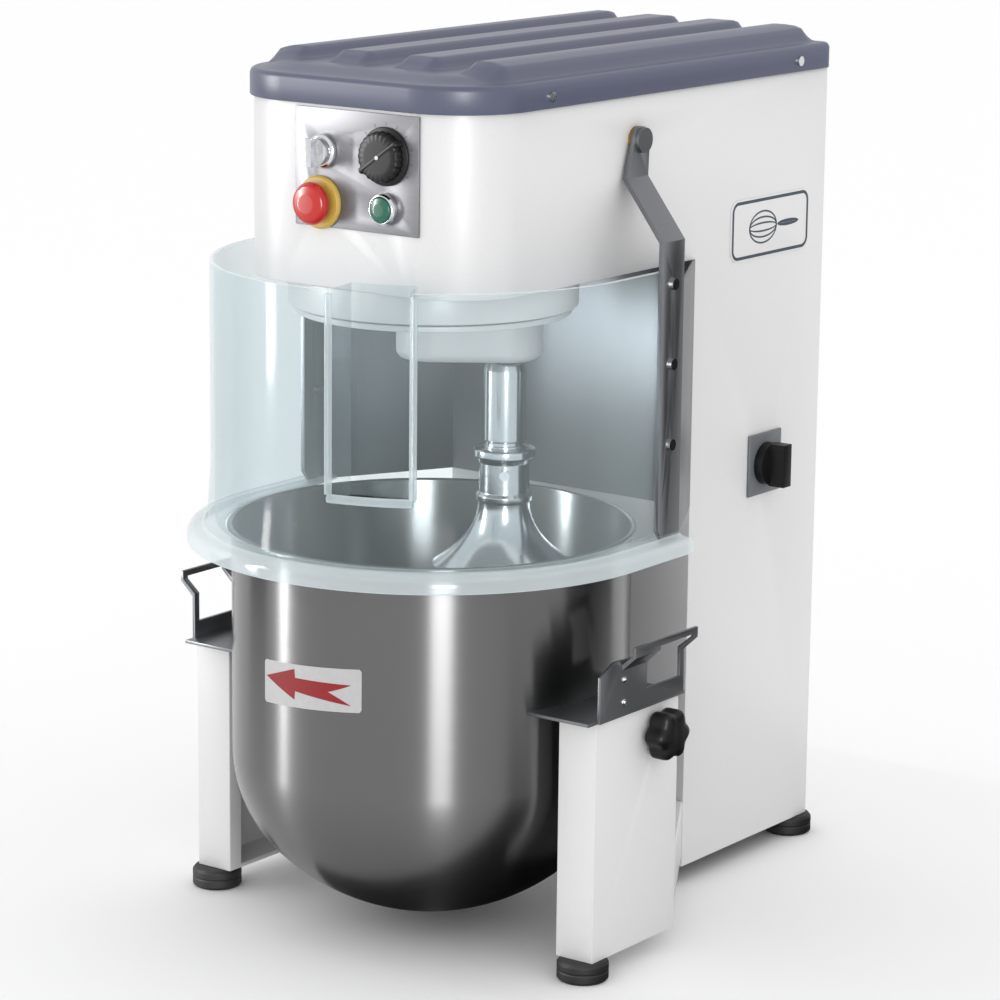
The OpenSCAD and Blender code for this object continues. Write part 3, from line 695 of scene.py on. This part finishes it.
# %% Label and arrow
def wrapped(along, z, radius, tilt):
    """Point at an arc length along the wall, from the label's left edge, at a height and radius. The
    tilt lifts the right end."""
    a = LABEL_FROM + along / bowl_r
    z = z + np.tan(tilt) * (along - LABEL_L / 2)
    return np.stack([radius * np.cos(a), radius * np.sin(a), z], -1) * MM + axis


def film(name, front, rear, finish):
    """A thin sheet: a grid of points, the same grid just behind it, and the edge between the two."""
    rows, cols = front.shape[:2]
    count = rows * cols
    cells = quads(rows, cols)
    ring = edge_of(np.arange(count).reshape(rows, cols))
    edge = np.stack([ring, np.roll(ring, -1), np.roll(ring, -1) + count, ring + count], -1)
    points = np.concatenate([front.reshape(-1, 3), rear.reshape(-1, 3)])
    return make_piece(name, points, np.concatenate([cells, cells + count, edge]), finish)


label_low, label_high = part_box("rotation_label")
LABEL_FROM, LABEL_SPAN = np.radians(-106.5), np.radians(34.5)
LABEL_L = LABEL_SPAN * bowl_r
LABEL_TILT, ARROW_TILT = radians(4), radians(-1.5)
LABEL_Z = (label_low.z + label_high.z) / 2 / MM
LABEL_H = (label_high.z - label_low.z) / MM
LABEL_CORNER = 2.5
s, t = np.meshgrid(np.linspace(0, 1, 60), np.linspace(-1, 1, 12), indexing="ij")
from_end = np.minimum(s, 1 - s) * LABEL_L
into_corner = np.clip(LABEL_CORNER - from_end, 0, LABEL_CORNER)
half = LABEL_H / 2 - LABEL_CORNER + np.sqrt(np.clip(LABEL_CORNER**2 - into_corner**2, 0, None))
front = wrapped(s * LABEL_L, LABEL_Z + t * half, bowl_r + 0.4, LABEL_TILT)
rear = wrapped(s * LABEL_L, LABEL_Z + t * half, bowl_r + 0.03, LABEL_TILT)
label = film("rotation_label_film", front, rear, vinyl)
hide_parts("rotation_label")
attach(label, "bowl")

ARROW_L = LABEL_L - 14
HEAD_L = 40.0
HEAD_HALF = 15
NOTCH_L = 24
x = np.linspace(0, ARROW_L, 120)
head = x / HEAD_L * HEAD_HALF
shaft = 6.5 + 3.5 * (x - HEAD_L) / (ARROW_L - HEAD_L)
high = np.where(x <= HEAD_L, head, shaft)
tail = ARROW_L - NOTCH_L
low = np.where(x > tail, (x - tail) / (ARROW_L - tail) * (high - 0.3), 0)
t = np.linspace(0, 1, 5)
offset = low[:, None] + (high - low)[:, None] * t
along = np.repeat(x[:, None], len(t), 1) + 3
for part, sign in (("upper", 1), ("lower", -1)):
    z = LABEL_Z + sign * offset
    front = wrapped(along, z, bowl_r + 0.55, ARROW_TILT)
    rear = wrapped(along, z, bowl_r + 0.42, ARROW_TILT)
    arrow = film("rotation_arrow_" + part, front, rear, red_ink)
    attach(arrow, "bowl")

# %% [markdown]
# ## Planet carrier
# A cast block shaped like a stadium in plan, from the bowl's axis to the tool's, under a disc that
# turns inside the gear housing. Its lower edge is generously rounded, as castings are.

# %% Planet carrier
to_tool = (tool_axis - axis)[:2] / MM
reach = np.hypot(*to_tool)
turn = np.arctan2(to_tool[1], to_tool[0])
carrier_low, carrier_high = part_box("planet_carrier")
CARRIER_R = 36.0
EDGE_R = 9
DISC_H = 6.0
BLOCK_H = (carrier_high.z - carrier_low.z) / MM - DISC_H


def stadium(inset, steps=40):
    """Two half circles, one round each axis, joined by straight sides, turned towards the tool."""
    r = CARRIER_R - inset
    a = np.linspace(np.pi / 2, 3 * np.pi / 2, steps)
    near = np.column_stack([r * np.cos(a), r * np.sin(a)])
    far = np.column_stack([reach - r * np.cos(a), -r * np.sin(a)])
    both = np.concatenate([near, far])
    return both @ np.array([[np.cos(turn), np.sin(turn)], [-np.sin(turn), np.cos(turn)]])


at = axis + [0, 0, carrier_low.z]
quarter = np.linspace(0, np.pi / 2, 9)
edge_arc = [(EDGE_R * (1 - np.sin(t)), EDGE_R * (1 - np.cos(t))) for t in quarter]
block_profile = edge_arc + [(0, BLOCK_H - 4), (0, BLOCK_H + 0.5)]
block = ringed("planet_carrier_block", stadium, block_profile, at, powder_coat)
disc_r = (carrier_high.x - carrier_low.x) / 2 / MM
disc_top = BLOCK_H + DISC_H
disc = filleted([(0, BLOCK_H, 0), (disc_r, BLOCK_H, 1.5), (disc_r, disc_top, 1.0), (0, disc_top, 0)])
plate = turned("planet_carrier_disc", disc, at, powder_coat)
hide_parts("planet_carrier")
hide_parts("planet_carrier")
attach(block, "carrier")
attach(plate, "carrier")

# %% [markdown]
# ## Tool shaft and whisk
# The shaft is turned and polished, with a relief groove above the whisk's collar. The whisk's hub is
# a flanged collar over a flared bell, and its wires leave the bell's underside in six loops. A loop
# goes down, round the bottom on a circle, and up again.

# %% Shaft and hub
SHAFT_R = 20.8
SHAFT_LOW = 440.0
HUB_TOP = 478.0
neck = carrier_low.z / MM - 3
shaft_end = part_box("tool_shaft")[1].z / MM - 0.5
shaft_profile = filleted(
    [
        (0, SHAFT_LOW, 0), (20.5, SHAFT_LOW, 1), (20.5, HUB_TOP, 0), (20.5, HUB_TOP + 2, 0.8),
        (19.0, HUB_TOP + 3, 0.6), (19.0, HUB_TOP + 6, 0.6), (SHAFT_R, HUB_TOP + 7.5, 0.8),
        (SHAFT_R, neck - 8, 1.0), (18.5, neck - 1, 1.0), (12, neck, 0.5), (12, shaft_end, 1),
        (0, shaft_end, 0),
    ]
)
shaft = turned("tool_shaft_turned", shaft_profile, tool_axis, tool_steel)
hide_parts("tool_shaft")
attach(shaft, "tool")

BELL_TOP = 424.0
BELL_LOW = 362.0
BELL_R, BELL_NECK = 69.5, 25.5
HUB_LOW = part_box("whisk_hub")[0].z / MM
t = np.linspace(0, 1, 26)
bell = np.column_stack([BELL_NECK + (BELL_R - BELL_NECK) * t**2.1, BELL_TOP - (BELL_TOP - BELL_LOW) * t])
collar = filleted(
    [
        (21.2, HUB_TOP, 0), (26, HUB_TOP, 0.8), (30.5, HUB_TOP - 1.5, 1.5), (30.5, HUB_TOP - 9, 1.5),
        (25.5, HUB_TOP - 10.5, 1.0), (24.6, HUB_TOP - 15, 1.5), (24.6, BELL_TOP + 10, 1.5),
        (27.5, BELL_TOP + 7, 1.2), (27.5, BELL_TOP + 2, 1.2), (BELL_NECK, BELL_TOP, 0),
    ]
)
skirt = filleted(
    [
        (BELL_R, BELL_LOW, 0), (BELL_R, HUB_LOW + 0.5, 2.5), (64, HUB_LOW, 1.5), (62, BELL_LOW - 4, 3),
        (0, BELL_LOW, 0),
    ]
)
hub = turned("whisk_hub_bell", np.concatenate([collar, bell[1:-1], skirt]), tool_axis, tool_steel)
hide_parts("whisk_hub")
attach(hub, "tool")

# %% Whisk wires
WIRE = 2.0
LOOPS = 6
LOOP_R = 88.0
LOOP_LOW = 62.0
STACK = 4.3
TOP = np.array([62.0, 354.0])


def loop_path(low):
    """Half circle of LOOP_R about a centre LOOP_R above low, extended past its ends by the angle at
    which straight wires meet it from the bell, then the wires themselves."""
    centre = low + LOOP_R
    to_top = TOP - [0, centre]
    tangent = np.arctan2(to_top[1], to_top[0]) - np.arccos(LOOP_R / np.hypot(*to_top))
    a = np.linspace(tangent, -np.pi - tangent, 70)
    round_part = np.column_stack([LOOP_R * np.cos(a), centre + LOOP_R * np.sin(a)])
    up = np.array([-np.sin(tangent), np.cos(tangent)])
    length = np.sqrt(to_top @ to_top - LOOP_R**2) + 5
    rise_of_leg = (np.linspace(1, 0, 24)[:-1] * length)[:, None]
    right_leg = round_part[0] + rise_of_leg * up
    left_leg = right_leg[::-1] * [-1, 1]
    return np.concatenate([right_leg, round_part, left_leg])


for k in range(LOOPS):
    angle = turn + np.radians(k * 180 / LOOPS + 15)
    flat = loop_path(LOOP_LOW + STACK * k)
    outwards = np.array([np.cos(angle), np.sin(angle), 0])
    path = flat[:, :1] * outwards + flat[:, 1:] * np.array([0, 0, 1.0])
    side = (-np.sin(angle), np.cos(angle), 0)
    wire = tube(f"whisk_loop_{k + 1}", path * MM + tool_axis, side, WIRE, tool_steel)
    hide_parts("whisk_wires")
    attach(wire, "tool")

# %% [markdown]
# ## Guard
# The clear guard is one moulding: a wall that goes round the front in a half circle and runs
# straight back to the arms, and a brim that flares over the bowl's rim and turns down at its edge.
# A closed section is carried along that path. Where the loading chute passes, the wall is left out
# above the chute's sill, and the cut is closed with faces.

# %% Guard path and section
guard_low, guard_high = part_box("guard_shell")
WALL_T = 4.0
GUARD_R = 215.0
BRIM_R = (guard_high.x - guard_low.x) / 2 / MM
GUARD_TOP = guard_high.z / MM
GUARD_LOW = guard_low.z / MM
STRAIGHT = guard_high.y / MM - axis[1] / MM
BRIM_OUT = BRIM_R - GUARD_R
CHUTE_FROM, CHUTE_TO = -79.5, -57.5
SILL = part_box("guard_chute")[0].z / MM
WALL_TOP = GUARD_TOP - 2
WALL_ROWS = 10
SIDE_COLS = 13

bend = np.radians(np.linspace(180, 360, 181))
chute_angles = np.radians([360 + CHUTE_FROM, 360 + CHUTE_TO])
clear_of_chute = (np.abs(bend[:, None] - chute_angles) > 0.012).all(1)
bend = np.sort(np.concatenate([bend[clear_of_chute], chute_angles]))
round_xy = np.column_stack([np.cos(bend), np.sin(bend)])
straight = np.linspace(STRAIGHT, 0, SIDE_COLS + 1)[:-1]
path_xy = np.concatenate(
    [
        np.column_stack([np.full(SIDE_COLS, -GUARD_R), straight]),
        GUARD_R * round_xy,
        np.column_stack([np.full(SIDE_COLS, GUARD_R), straight[::-1]]),
    ]
)
out_xy = np.concatenate([np.tile([-1.0, 0.0], (SIDE_COLS, 1)), round_xy, np.tile([1.0, 0.0], (SIDE_COLS, 1))])
wall_z = np.linspace(SILL, WALL_TOP, WALL_ROWS)
outer_wall = np.column_stack([np.zeros(WALL_ROWS), wall_z])
inner_wall = np.column_stack([np.full(WALL_ROWS, -WALL_T), wall_z[::-1]])
top_edge = filleted(
    [(0, WALL_TOP, 0), (0, GUARD_TOP, 1.6), (-WALL_T, GUARD_TOP, 1.6), (-WALL_T, WALL_TOP, 0)], 5
)
brim_inner = -(GUARD_R - bowl_r - 6)
under = filleted(
    [
        (-WALL_T, SILL, 0), (-WALL_T, rim_z + 3, 5), (brim_inner, rim_z + 1, 1.2),
        (brim_inner, rim_z - 2.5, 1.2),
        (BRIM_OUT - 5, rim_z - 3.5, 4), (BRIM_OUT - 4, GUARD_LOW + 0.2, 1.4), (BRIM_OUT, GUARD_LOW, 1.4),
        (BRIM_OUT, rim_z - 1, 8), (4, rim_z + 1.5, 9), (0, SILL, 0),
    ],
    8,
)
section = np.concatenate([outer_wall, top_edge[1:-1], inner_wall, under[1:-1]])
rows, cols = len(section), len(path_xy)
guard_points = np.stack(
    [
        path_xy[:, 0] + section[:, :1] * out_xy[:, 0],
        path_xy[:, 1] + section[:, :1] * out_xy[:, 1],
        np.repeat(section[:, 1:], cols, 1),
    ],
    -1,
)
guard_points[..., 2] = np.clip(guard_points[..., 2], GUARD_LOW, GUARD_TOP)

# %% Guard mesh
number = np.arange(rows * cols).reshape(rows, cols)
chute_start, chute_end = (SIDE_COLS + int(np.argmin(np.abs(bend - angle))) for angle in chute_angles)
all_cells = quads(rows, cols, close_rows=True).reshape(rows, cols - 1, 4)
inner_sill = 2 * WALL_ROWS + len(top_edge) - 3
keep = np.ones((rows, cols - 1), bool)
keep[:inner_sill, chute_start:chute_end] = False
guard_faces = all_cells[keep].tolist()
for column in (chute_start, chute_end):
    guard_faces.append(number[: inner_sill + 1, column].tolist())
sill_outer, sill_inner = number[[0, inner_sill], chute_start : chute_end + 1]
guard_faces += np.stack([sill_outer[:-1], sill_outer[1:], sill_inner[1:], sill_inner[:-1]], -1).tolist()
guard_faces += [number[:, 0].tolist(), number[:, -1].tolist()]
guard = make_piece("guard_moulding", guard_points * MM + axis, guard_faces, polycarbonate, 60)
# The top edge and the brim get the paler, more opaque second material: painted highlight for the glow of the
# sheet's edges.
guard.data.materials.append(polycarbonate_painted_highlight)
centres = np.array([face.center for face in guard.data.polygons]) / MM
normals = np.array([face.normal for face in guard.data.polygons])
is_top = (centres[:, 2] > GUARD_TOP - 2.5) & (normals[:, 2] > 0.2)
is_brim = centres[:, 2] < rim_z + 2.2
guard.data.polygons.foreach_set("material_index", (is_top | is_brim).astype(np.int32))
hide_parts("guard_shell")
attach(guard, "guard")
print("guard faces:", len(guard.data.polygons), "painted highlight faces:", int((is_top | is_brim).sum()))

# %% [markdown]
# ## Loading chute
# A three-sided trough behind the opening, and a bead of clear plastic that frames the opening. The
# bead's cut surface gathers light. That light is painted highlight, a paler clear material, so it reads as a
# pale line down both sides and along the sill.

# %% Chute
softened("guard_chute", polycarbonate, 0.5, 2)
FRAME_R = 3.6
BAR_POINTS = 30
mid_r = GUARD_R - WALL_T / 2
post_z = np.linspace(GUARD_TOP - 4, SILL + 8, BAR_POINTS)
sill_a = np.linspace(chute_angles[0], chute_angles[1], BAR_POINTS)


def bead_bar(name, points, side, radius):
    """A bar of the chute's frame, pale with painted highlight, that moves with the guard."""
    bar = tube(name, points, side, radius, polycarbonate_painted_highlight, sides=16)
    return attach(bar, "guard")


for name, a in (("left", chute_angles[0]), ("right", chute_angles[1])):
    post_xy = np.tile([mid_r * np.cos(a), mid_r * np.sin(a)], (BAR_POINTS, 1))
    post = np.column_stack([post_xy, post_z])
    bead_bar(f"chute_post_{name}", post * MM + axis, (np.cos(a), np.sin(a), 0), FRAME_R)
sill = np.column_stack([mid_r * np.cos(sill_a), mid_r * np.sin(sill_a), np.full(BAR_POINTS, SILL + 4)])
bead_bar("chute_sill", sill * MM + axis, (0, 0, 1), FRAME_R + 0.6)

# %% [markdown]
# ## Guard screws and rivets
# Pan-head screws hold the moulding to its arms. A pan head is a short cylinder under a shallow dome,
# with a socket sunk into it. Two rivets hold each grip to its bracket.


# %% Screws and rivets
def pan_head(name, at, facing, radius, height, body):
    """A pan-head screw: a dome h = height * sqrt(1 - (r / R)^2) with a flat and a round socket."""
    r = np.linspace(radius * 0.45, radius, 10)
    dome = np.column_stack([r, height * (0.35 + 0.65 * np.sqrt(1 - (r / radius) ** 2))])
    socket = [(0, height * 0.35), (radius * 0.38, height * 0.35), (radius * 0.4, height * 0.9)]
    profile = np.concatenate([socket, dome, [(radius, 0), (0, 0)]])
    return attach(turned(name, profile, at, chrome, facing, 32), body)


RIVET_X = 0.2501
RIVETS_BEHIND_AXIS = {"left": 0.034, "right": -0.030}
RIVETS_Z = (0.270, 0.292)
dress(chrome, "guard_screws")
for side, facing in ((-1, "left"), (1, "right")):
    for k, z in enumerate(RIVETS_Z):
        spot = np.array([side * RIVET_X, axis[1] + RIVETS_BEHIND_AXIS[facing], z])
        rivet = pan_head(f"bracket_rivet_{facing}_{k + 1}", spot, facing, 3.2, 1.8, "bowl")

# %% [markdown]
# ## Controls
# A mushroom emergency stop on a yellow ring, a speed knob with a pointer wing, a lit push button in a
# bright bezel, and a selector. Each is turned or ringed with the small radii that mouldings have.

# %% Emergency stop
e_stop_at = on_panel("e_stop_button")
stop_profile = filleted(
    [
        (0, 1, 0), (6, 1, 0), (6, 10.7, 0.5), (17.5, 10.5, 1.5), (20, 12.5, 2), (20, 15.5, 4),
        (17.0, 20.5, 5), (9, 22.3, 8), (0, 22.5, 0),
    ],
    8,
)
e_stop = turned("e_stop_mushroom", stop_profile, e_stop_at, red_abs, "front")
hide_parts("e_stop_button")
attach(e_stop, "e_stop")
ring_profile = filleted(
    [
        (11.6, 0.1, 0), (25, 0.1, 0.4), (25, 2.2, 1), (23.2, 4.9, 1.2), (13, 4.9, 1.0), (11.6, 4.0, 0.5),
        (11.6, 0.1, 0),
    ]
)
collar_ring = turned("e_stop_ring", ring_profile, e_stop_at, yellow_abs, "front")
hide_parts("e_stop_collar")
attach(collar_ring, "frame")

# %% Start button and selector bezel
start_at = on_panel("start_button")
button_profile = filleted(
    [(0, 0.2, 0), (6, 0.2, 0), (6, 4.2, 0.4), (11.9, 4.2, 0.5), (11.9, 8.3, 2.0), (6, 9.8, 8), (0, 9.9, 0)]
)
button = turned("start_button_cap", button_profile, start_at, green_lens, "front")
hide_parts("start_button")
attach(button, "start")
bezel_profile = filleted(
    [(12.3, 0.1, 0), (15, 0.1, 0.3), (15, 4.5, 1.2), (13.4, 6.9, 0.8), (12.3, 6.9, 0.3), (12.3, 0.1, 0)]
)
bezel = turned("start_bezel_ring", bezel_profile, start_at, chrome, "front")
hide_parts("start_bezel")
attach(bezel, "frame")
selector_at = on_panel("selector_bezel")
selector_profile = filleted(
    [(6.7, 0.1, 0), (16, 0.1, 0.3), (16, 4.0, 1.5), (13.5, 5.9, 1.0), (6.7, 5.9, 0.4), (6.7, 0.1, 0)]
)
selector_ring = turned("selector_bezel_ring", selector_profile, selector_at, chrome, "front")
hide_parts("selector_bezel")
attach(selector_ring, "frame")

# %% Speed knob and its dial
speed_at = on_panel("speed_knob")
POINTER = radians(-55)
skirt_profile = filleted(
    [
        (0, -11, 0), (2.9, -11, 0), (2.9, 0.6, 0), (27.3, 0.6, 0.4), (27.3, 2.6, 1.2), (21, 5.0, 2),
        (0, 5.0, 0),
    ]
)
knob_skirt = turned("speed_knob_skirt", skirt_profile, speed_at, phenolic, "front")
grip_rise = [(0.6, 4.2), (0, 5), (0.4, 10), (1.2, 12.6), (3.0, 13.7), (9, 14)]
knob_grip = ringed("speed_knob_grip", lobed(24, 24, 0.8, 288), grip_rise, speed_at, phenolic, "front", 50)
turn_knob = np.array([[np.cos(POINTER), np.sin(POINTER)], [-np.sin(POINTER), np.cos(POINTER)]])
wing_outline = round_rectangle(3.4, 26.6, 3.2)
wing_rise = [(0, 4.2), (0, 11), (0.4, 12.6), (1.4, 13.9), (2.6, 14.3)]
wing = ringed(
    "speed_knob_wing", lambda inset: wing_outline(inset) @ turn_knob, wing_rise, speed_at, phenolic, "front"
)
for piece in (knob_skirt, knob_grip, wing):
    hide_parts("speed_knob")
    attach(piece, "speed")
dot_profile = [(0, 13.9), (1.9, 13.9), (1.9, 14.6), (0, 14.6)]
dot = turned("speed_knob_dot", dot_profile, speed_at, white_ink, "front", 32)
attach(dot, "speed")

TICKS = 11
TICK_R = 30.2
for k, angle in enumerate(np.radians(np.linspace(215, -35, TICKS))):
    along = np.array([np.cos(angle), np.sin(angle)])
    across = np.array([-along[1], along[0]])
    tick_outline = round_rectangle(1.6, 0.45, 0.3, 4)
    turn_tick = np.stack([along, across])
    at_tick = along * TICK_R
    tick = ringed(
        f"dial_tick_{k + 1}", lambda inset: tick_outline(inset) @ turn_tick + at_tick,
        [(0, 0.02), (0.1, 0.12)], speed_at, blue_ink, "front",
    )
    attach(tick, "frame")

# %% [markdown]
# ## Clamp knobs
# Six-lobed phenolic knobs on a stud, one on each leg. The grip's outline is a circle with a cosine
# wave taken off it, and its face is slightly domed with a bright insert in the middle.

# %% Clamp knobs
for side, facing in ((-1, "left"), (1, "right")):
    name = "clamp_knob_" + facing
    low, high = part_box(name)
    at = middle(name) * [0, 1, 1]
    face = max(abs(low.x), abs(high.x)) / MM
    grip_profile = [
        (6, face - 22), (1.5, face - 21.7), (0.3, face - 20), (0, face - 17), (0, face - 8), (0.8, face - 4),
        (3, face - 1.5), (8, face - 0.1),
    ]
    grip = ringed(name + "_grip", lobed(25.5, 6, 4.4), grip_profile, at, phenolic, facing, 50)
    stem = filleted(
        [
            (0, 226.3, 0), (8.8, 226.3, 0.6), (8.8, 229.7, 0.6), (4.9, 230, 0), (4.9, 245.4, 0),
            (13, 245.5, 1), (13, 249.6, 0.5), (0, 249.6, 0),
        ]
    )
    boss = turned(name + "_boss", stem, at, zinc, facing, 64)
    for piece in (grip, boss):
        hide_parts(name)
        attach(piece, "clamp_" + facing)

# %% [markdown]
# ## Feet
# Turned rubber feet with a groove and a chamfered sole, so that they don't mark the floor.

# %% Feet
feet_low, feet_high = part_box("feet")
FOOT_R = 25.0
REAR_X = 0.134
FOOT_H = feet_high.z / MM
foot_profile = filleted(
    [
        (0, 0, 0), (22.5, 0, 1.5), (24.9, 2.5, 1.0), (24.9, 9, 0.6), (24.0, 10.2, 0.4), (24.9, 11.4, 0.6),
        (24.9, 17, 1.5), (22.5, FOOT_H, 0.6), (0, FOOT_H, 0),
    ]
)
leg_x = feet_high.x - FOOT_R * MM
leg_y = feet_low.y + FOOT_R * MM
rear_y = feet_high.y - FOOT_R * MM
for x_sign in (-1, 1):
    for where, (x_at, y_at) in (("front", (leg_x, leg_y)), ("rear", (REAR_X, rear_y))):
        name = f"foot_{where}_{'left' if x_sign < 0 else 'right'}"
        foot = turned(name, foot_profile, np.array([x_sign * x_at, y_at, 0]), rubber, steps=64)
        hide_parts("feet")
        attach(foot, "frame")

# %% [markdown]
# ## Badge
# A plain badge: a rounded border printed on a thin plate, with a whisk drawn as nested ovals.

# %% Badge
badge_low, badge_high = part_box("badge_plate")
softened("badge_plate", powder_coat, 0.4, 2)
badge_middle = np.array([badge_high.x, middle("badge_plate")[1], middle("badge_plate")[2]])
half_y, half_z = (badge_high.y - badge_low.y) / 2 / MM, (badge_high.z - badge_low.z) / 2 / MM


def printed_ring(name, outer, width, at):
    """A closed printed line: the outline and the same outline moved in, joined by thin faces."""
    profile = [(0, 0.02), (0, 0.12), (width, 0.12), (width, 0.02)]
    rings = rings_of(outer, profile)
    faces = quads(len(profile), rings.shape[1], close_rows=True, close_cols=True)
    piece = make_piece(name, placed(rings, at, "right"), faces, blue_ink, 30)
    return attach(piece, "frame")


def oval(half_a, half_b, shift, count=72):
    """Ellipse outline (a cos t, b sin t), moved along its long axis by shift."""
    t = np.linspace(0, 2 * np.pi, count, endpoint=False)
    return lambda inset: np.column_stack([(half_a - inset) * np.cos(t) + shift, (half_b - inset) * np.sin(t)])


printed_ring("badge_border", round_rectangle(half_y - 1.5, half_z - 1.5, 11), 3.2, badge_middle)
for k, width in enumerate((17.0, 11.0, 5.0)):
    printed_ring(f"badge_whisk_{k + 1}", oval(26, width, -14), 1.8, badge_middle)
printed_ring("badge_handle", oval(20, 3.4, 33), 3.3, badge_middle)

# %% [markdown]
# ## Floor and light
# The machine stands on a plain white floor that runs far past the view, under an even white sky. Two
# tall lights, which show in reflections alone, stand where the bowl mirrors them as upright bands: a
# narrow strip on the left and a broader window in front. A weak key light lifts the front.

# %% Floor
bpy.ops.mesh.primitive_plane_add(size=120)
floor = bpy.context.object
floor.name = "studio_floor"
floor_paint = start_material("floor_paint_white", "#fefefe", 0.9)[0]
floor.data.materials.append(floor_paint)

# %% Lights
world = bpy.data.worlds.new("studio")
bpy.context.scene.world = world
world.use_nodes = True
sky = world.node_tree.nodes["Background"]
sky.inputs["Color"].default_value = linear("#ffffff")
sky.inputs["Strength"].default_value = 1.0


def facing_bowl(degrees, distance, height):
    """Matrix of a stand at an azimuth round the bowl, turned towards the bowl's middle."""
    a = radians(degrees)
    place = Vector((axis[0] + distance * np.cos(a), axis[1] + distance * np.sin(a), height))
    look = place - Vector((axis[0], axis[1], 0.35))
    return Matrix.Translation(place) @ look.to_track_quat("Z", "Y").to_matrix().to_4x4()


def soft_light(name, degrees, distance, height, width, tall, watts, diffuse=True, glossy=True):
    """An upright area light. With diffuse off it shows in reflections only, with glossy off never."""
    data = bpy.data.lights.new(name, "AREA")
    data.shape = "RECTANGLE"
    data.size, data.size_y, data.energy = width, tall, watts
    light = bpy.data.objects.new(name, data)
    light.matrix_world = facing_bowl(degrees, distance, height)
    light.visible_camera = False
    light.visible_diffuse = diffuse
    light.visible_glossy = glossy
    bpy.context.scene.collection.objects.link(light)


soft_light("strip_left", -141.5, 3.0, 0.9, 0.25, 2.4, 120, diffuse=False)
soft_light("window_front", -47, 4.0, 0.9, 0.8, 2.2, 150, diffuse=False)
soft_light("key_front", -85, 4.0, 0.9, 2.0, 1.6, 12, glossy=False)

# %% [markdown]
# Polished steel looks like steel only where it has something dark to mirror. Black cards, which show
# in reflections alone, stand on both sides of the bowl, and one lies on the floor by it.

# %% Dark cards
card_paint = start_material("card_black", "#0a0a0a", 0.9)[0]


def dark_card(name, matrix, width, tall):
    """A black card that only reflections see."""
    x, y = width / 2, tall / 2
    mesh = bpy.data.meshes.new(name)
    mesh.from_pydata([(-x, -y, 0), (x, -y, 0), (x, y, 0), (-x, y, 0)], [], [(0, 1, 2, 3)])
    mesh.materials.append(card_paint)
    card = bpy.data.objects.new(name, mesh)
    card.matrix_world = matrix
    bpy.context.scene.collection.objects.link(card)
    card.visible_camera = card.visible_diffuse = card.visible_shadow = card.visible_transmission = False


dark_card("card_right", facing_bowl(45, 1.3, 0.2), 1.0, 1.0)
dark_card("card_left", facing_bowl(-163, 1.6, 0.1), 0.5, 1.2)
dark_card("card_floor", Matrix.Translation((axis[0] + 0.36, axis[1] + 0.3, 0.002)), 0.9, 0.9)

bpy.context.scene.view_settings.view_transform = "Standard"
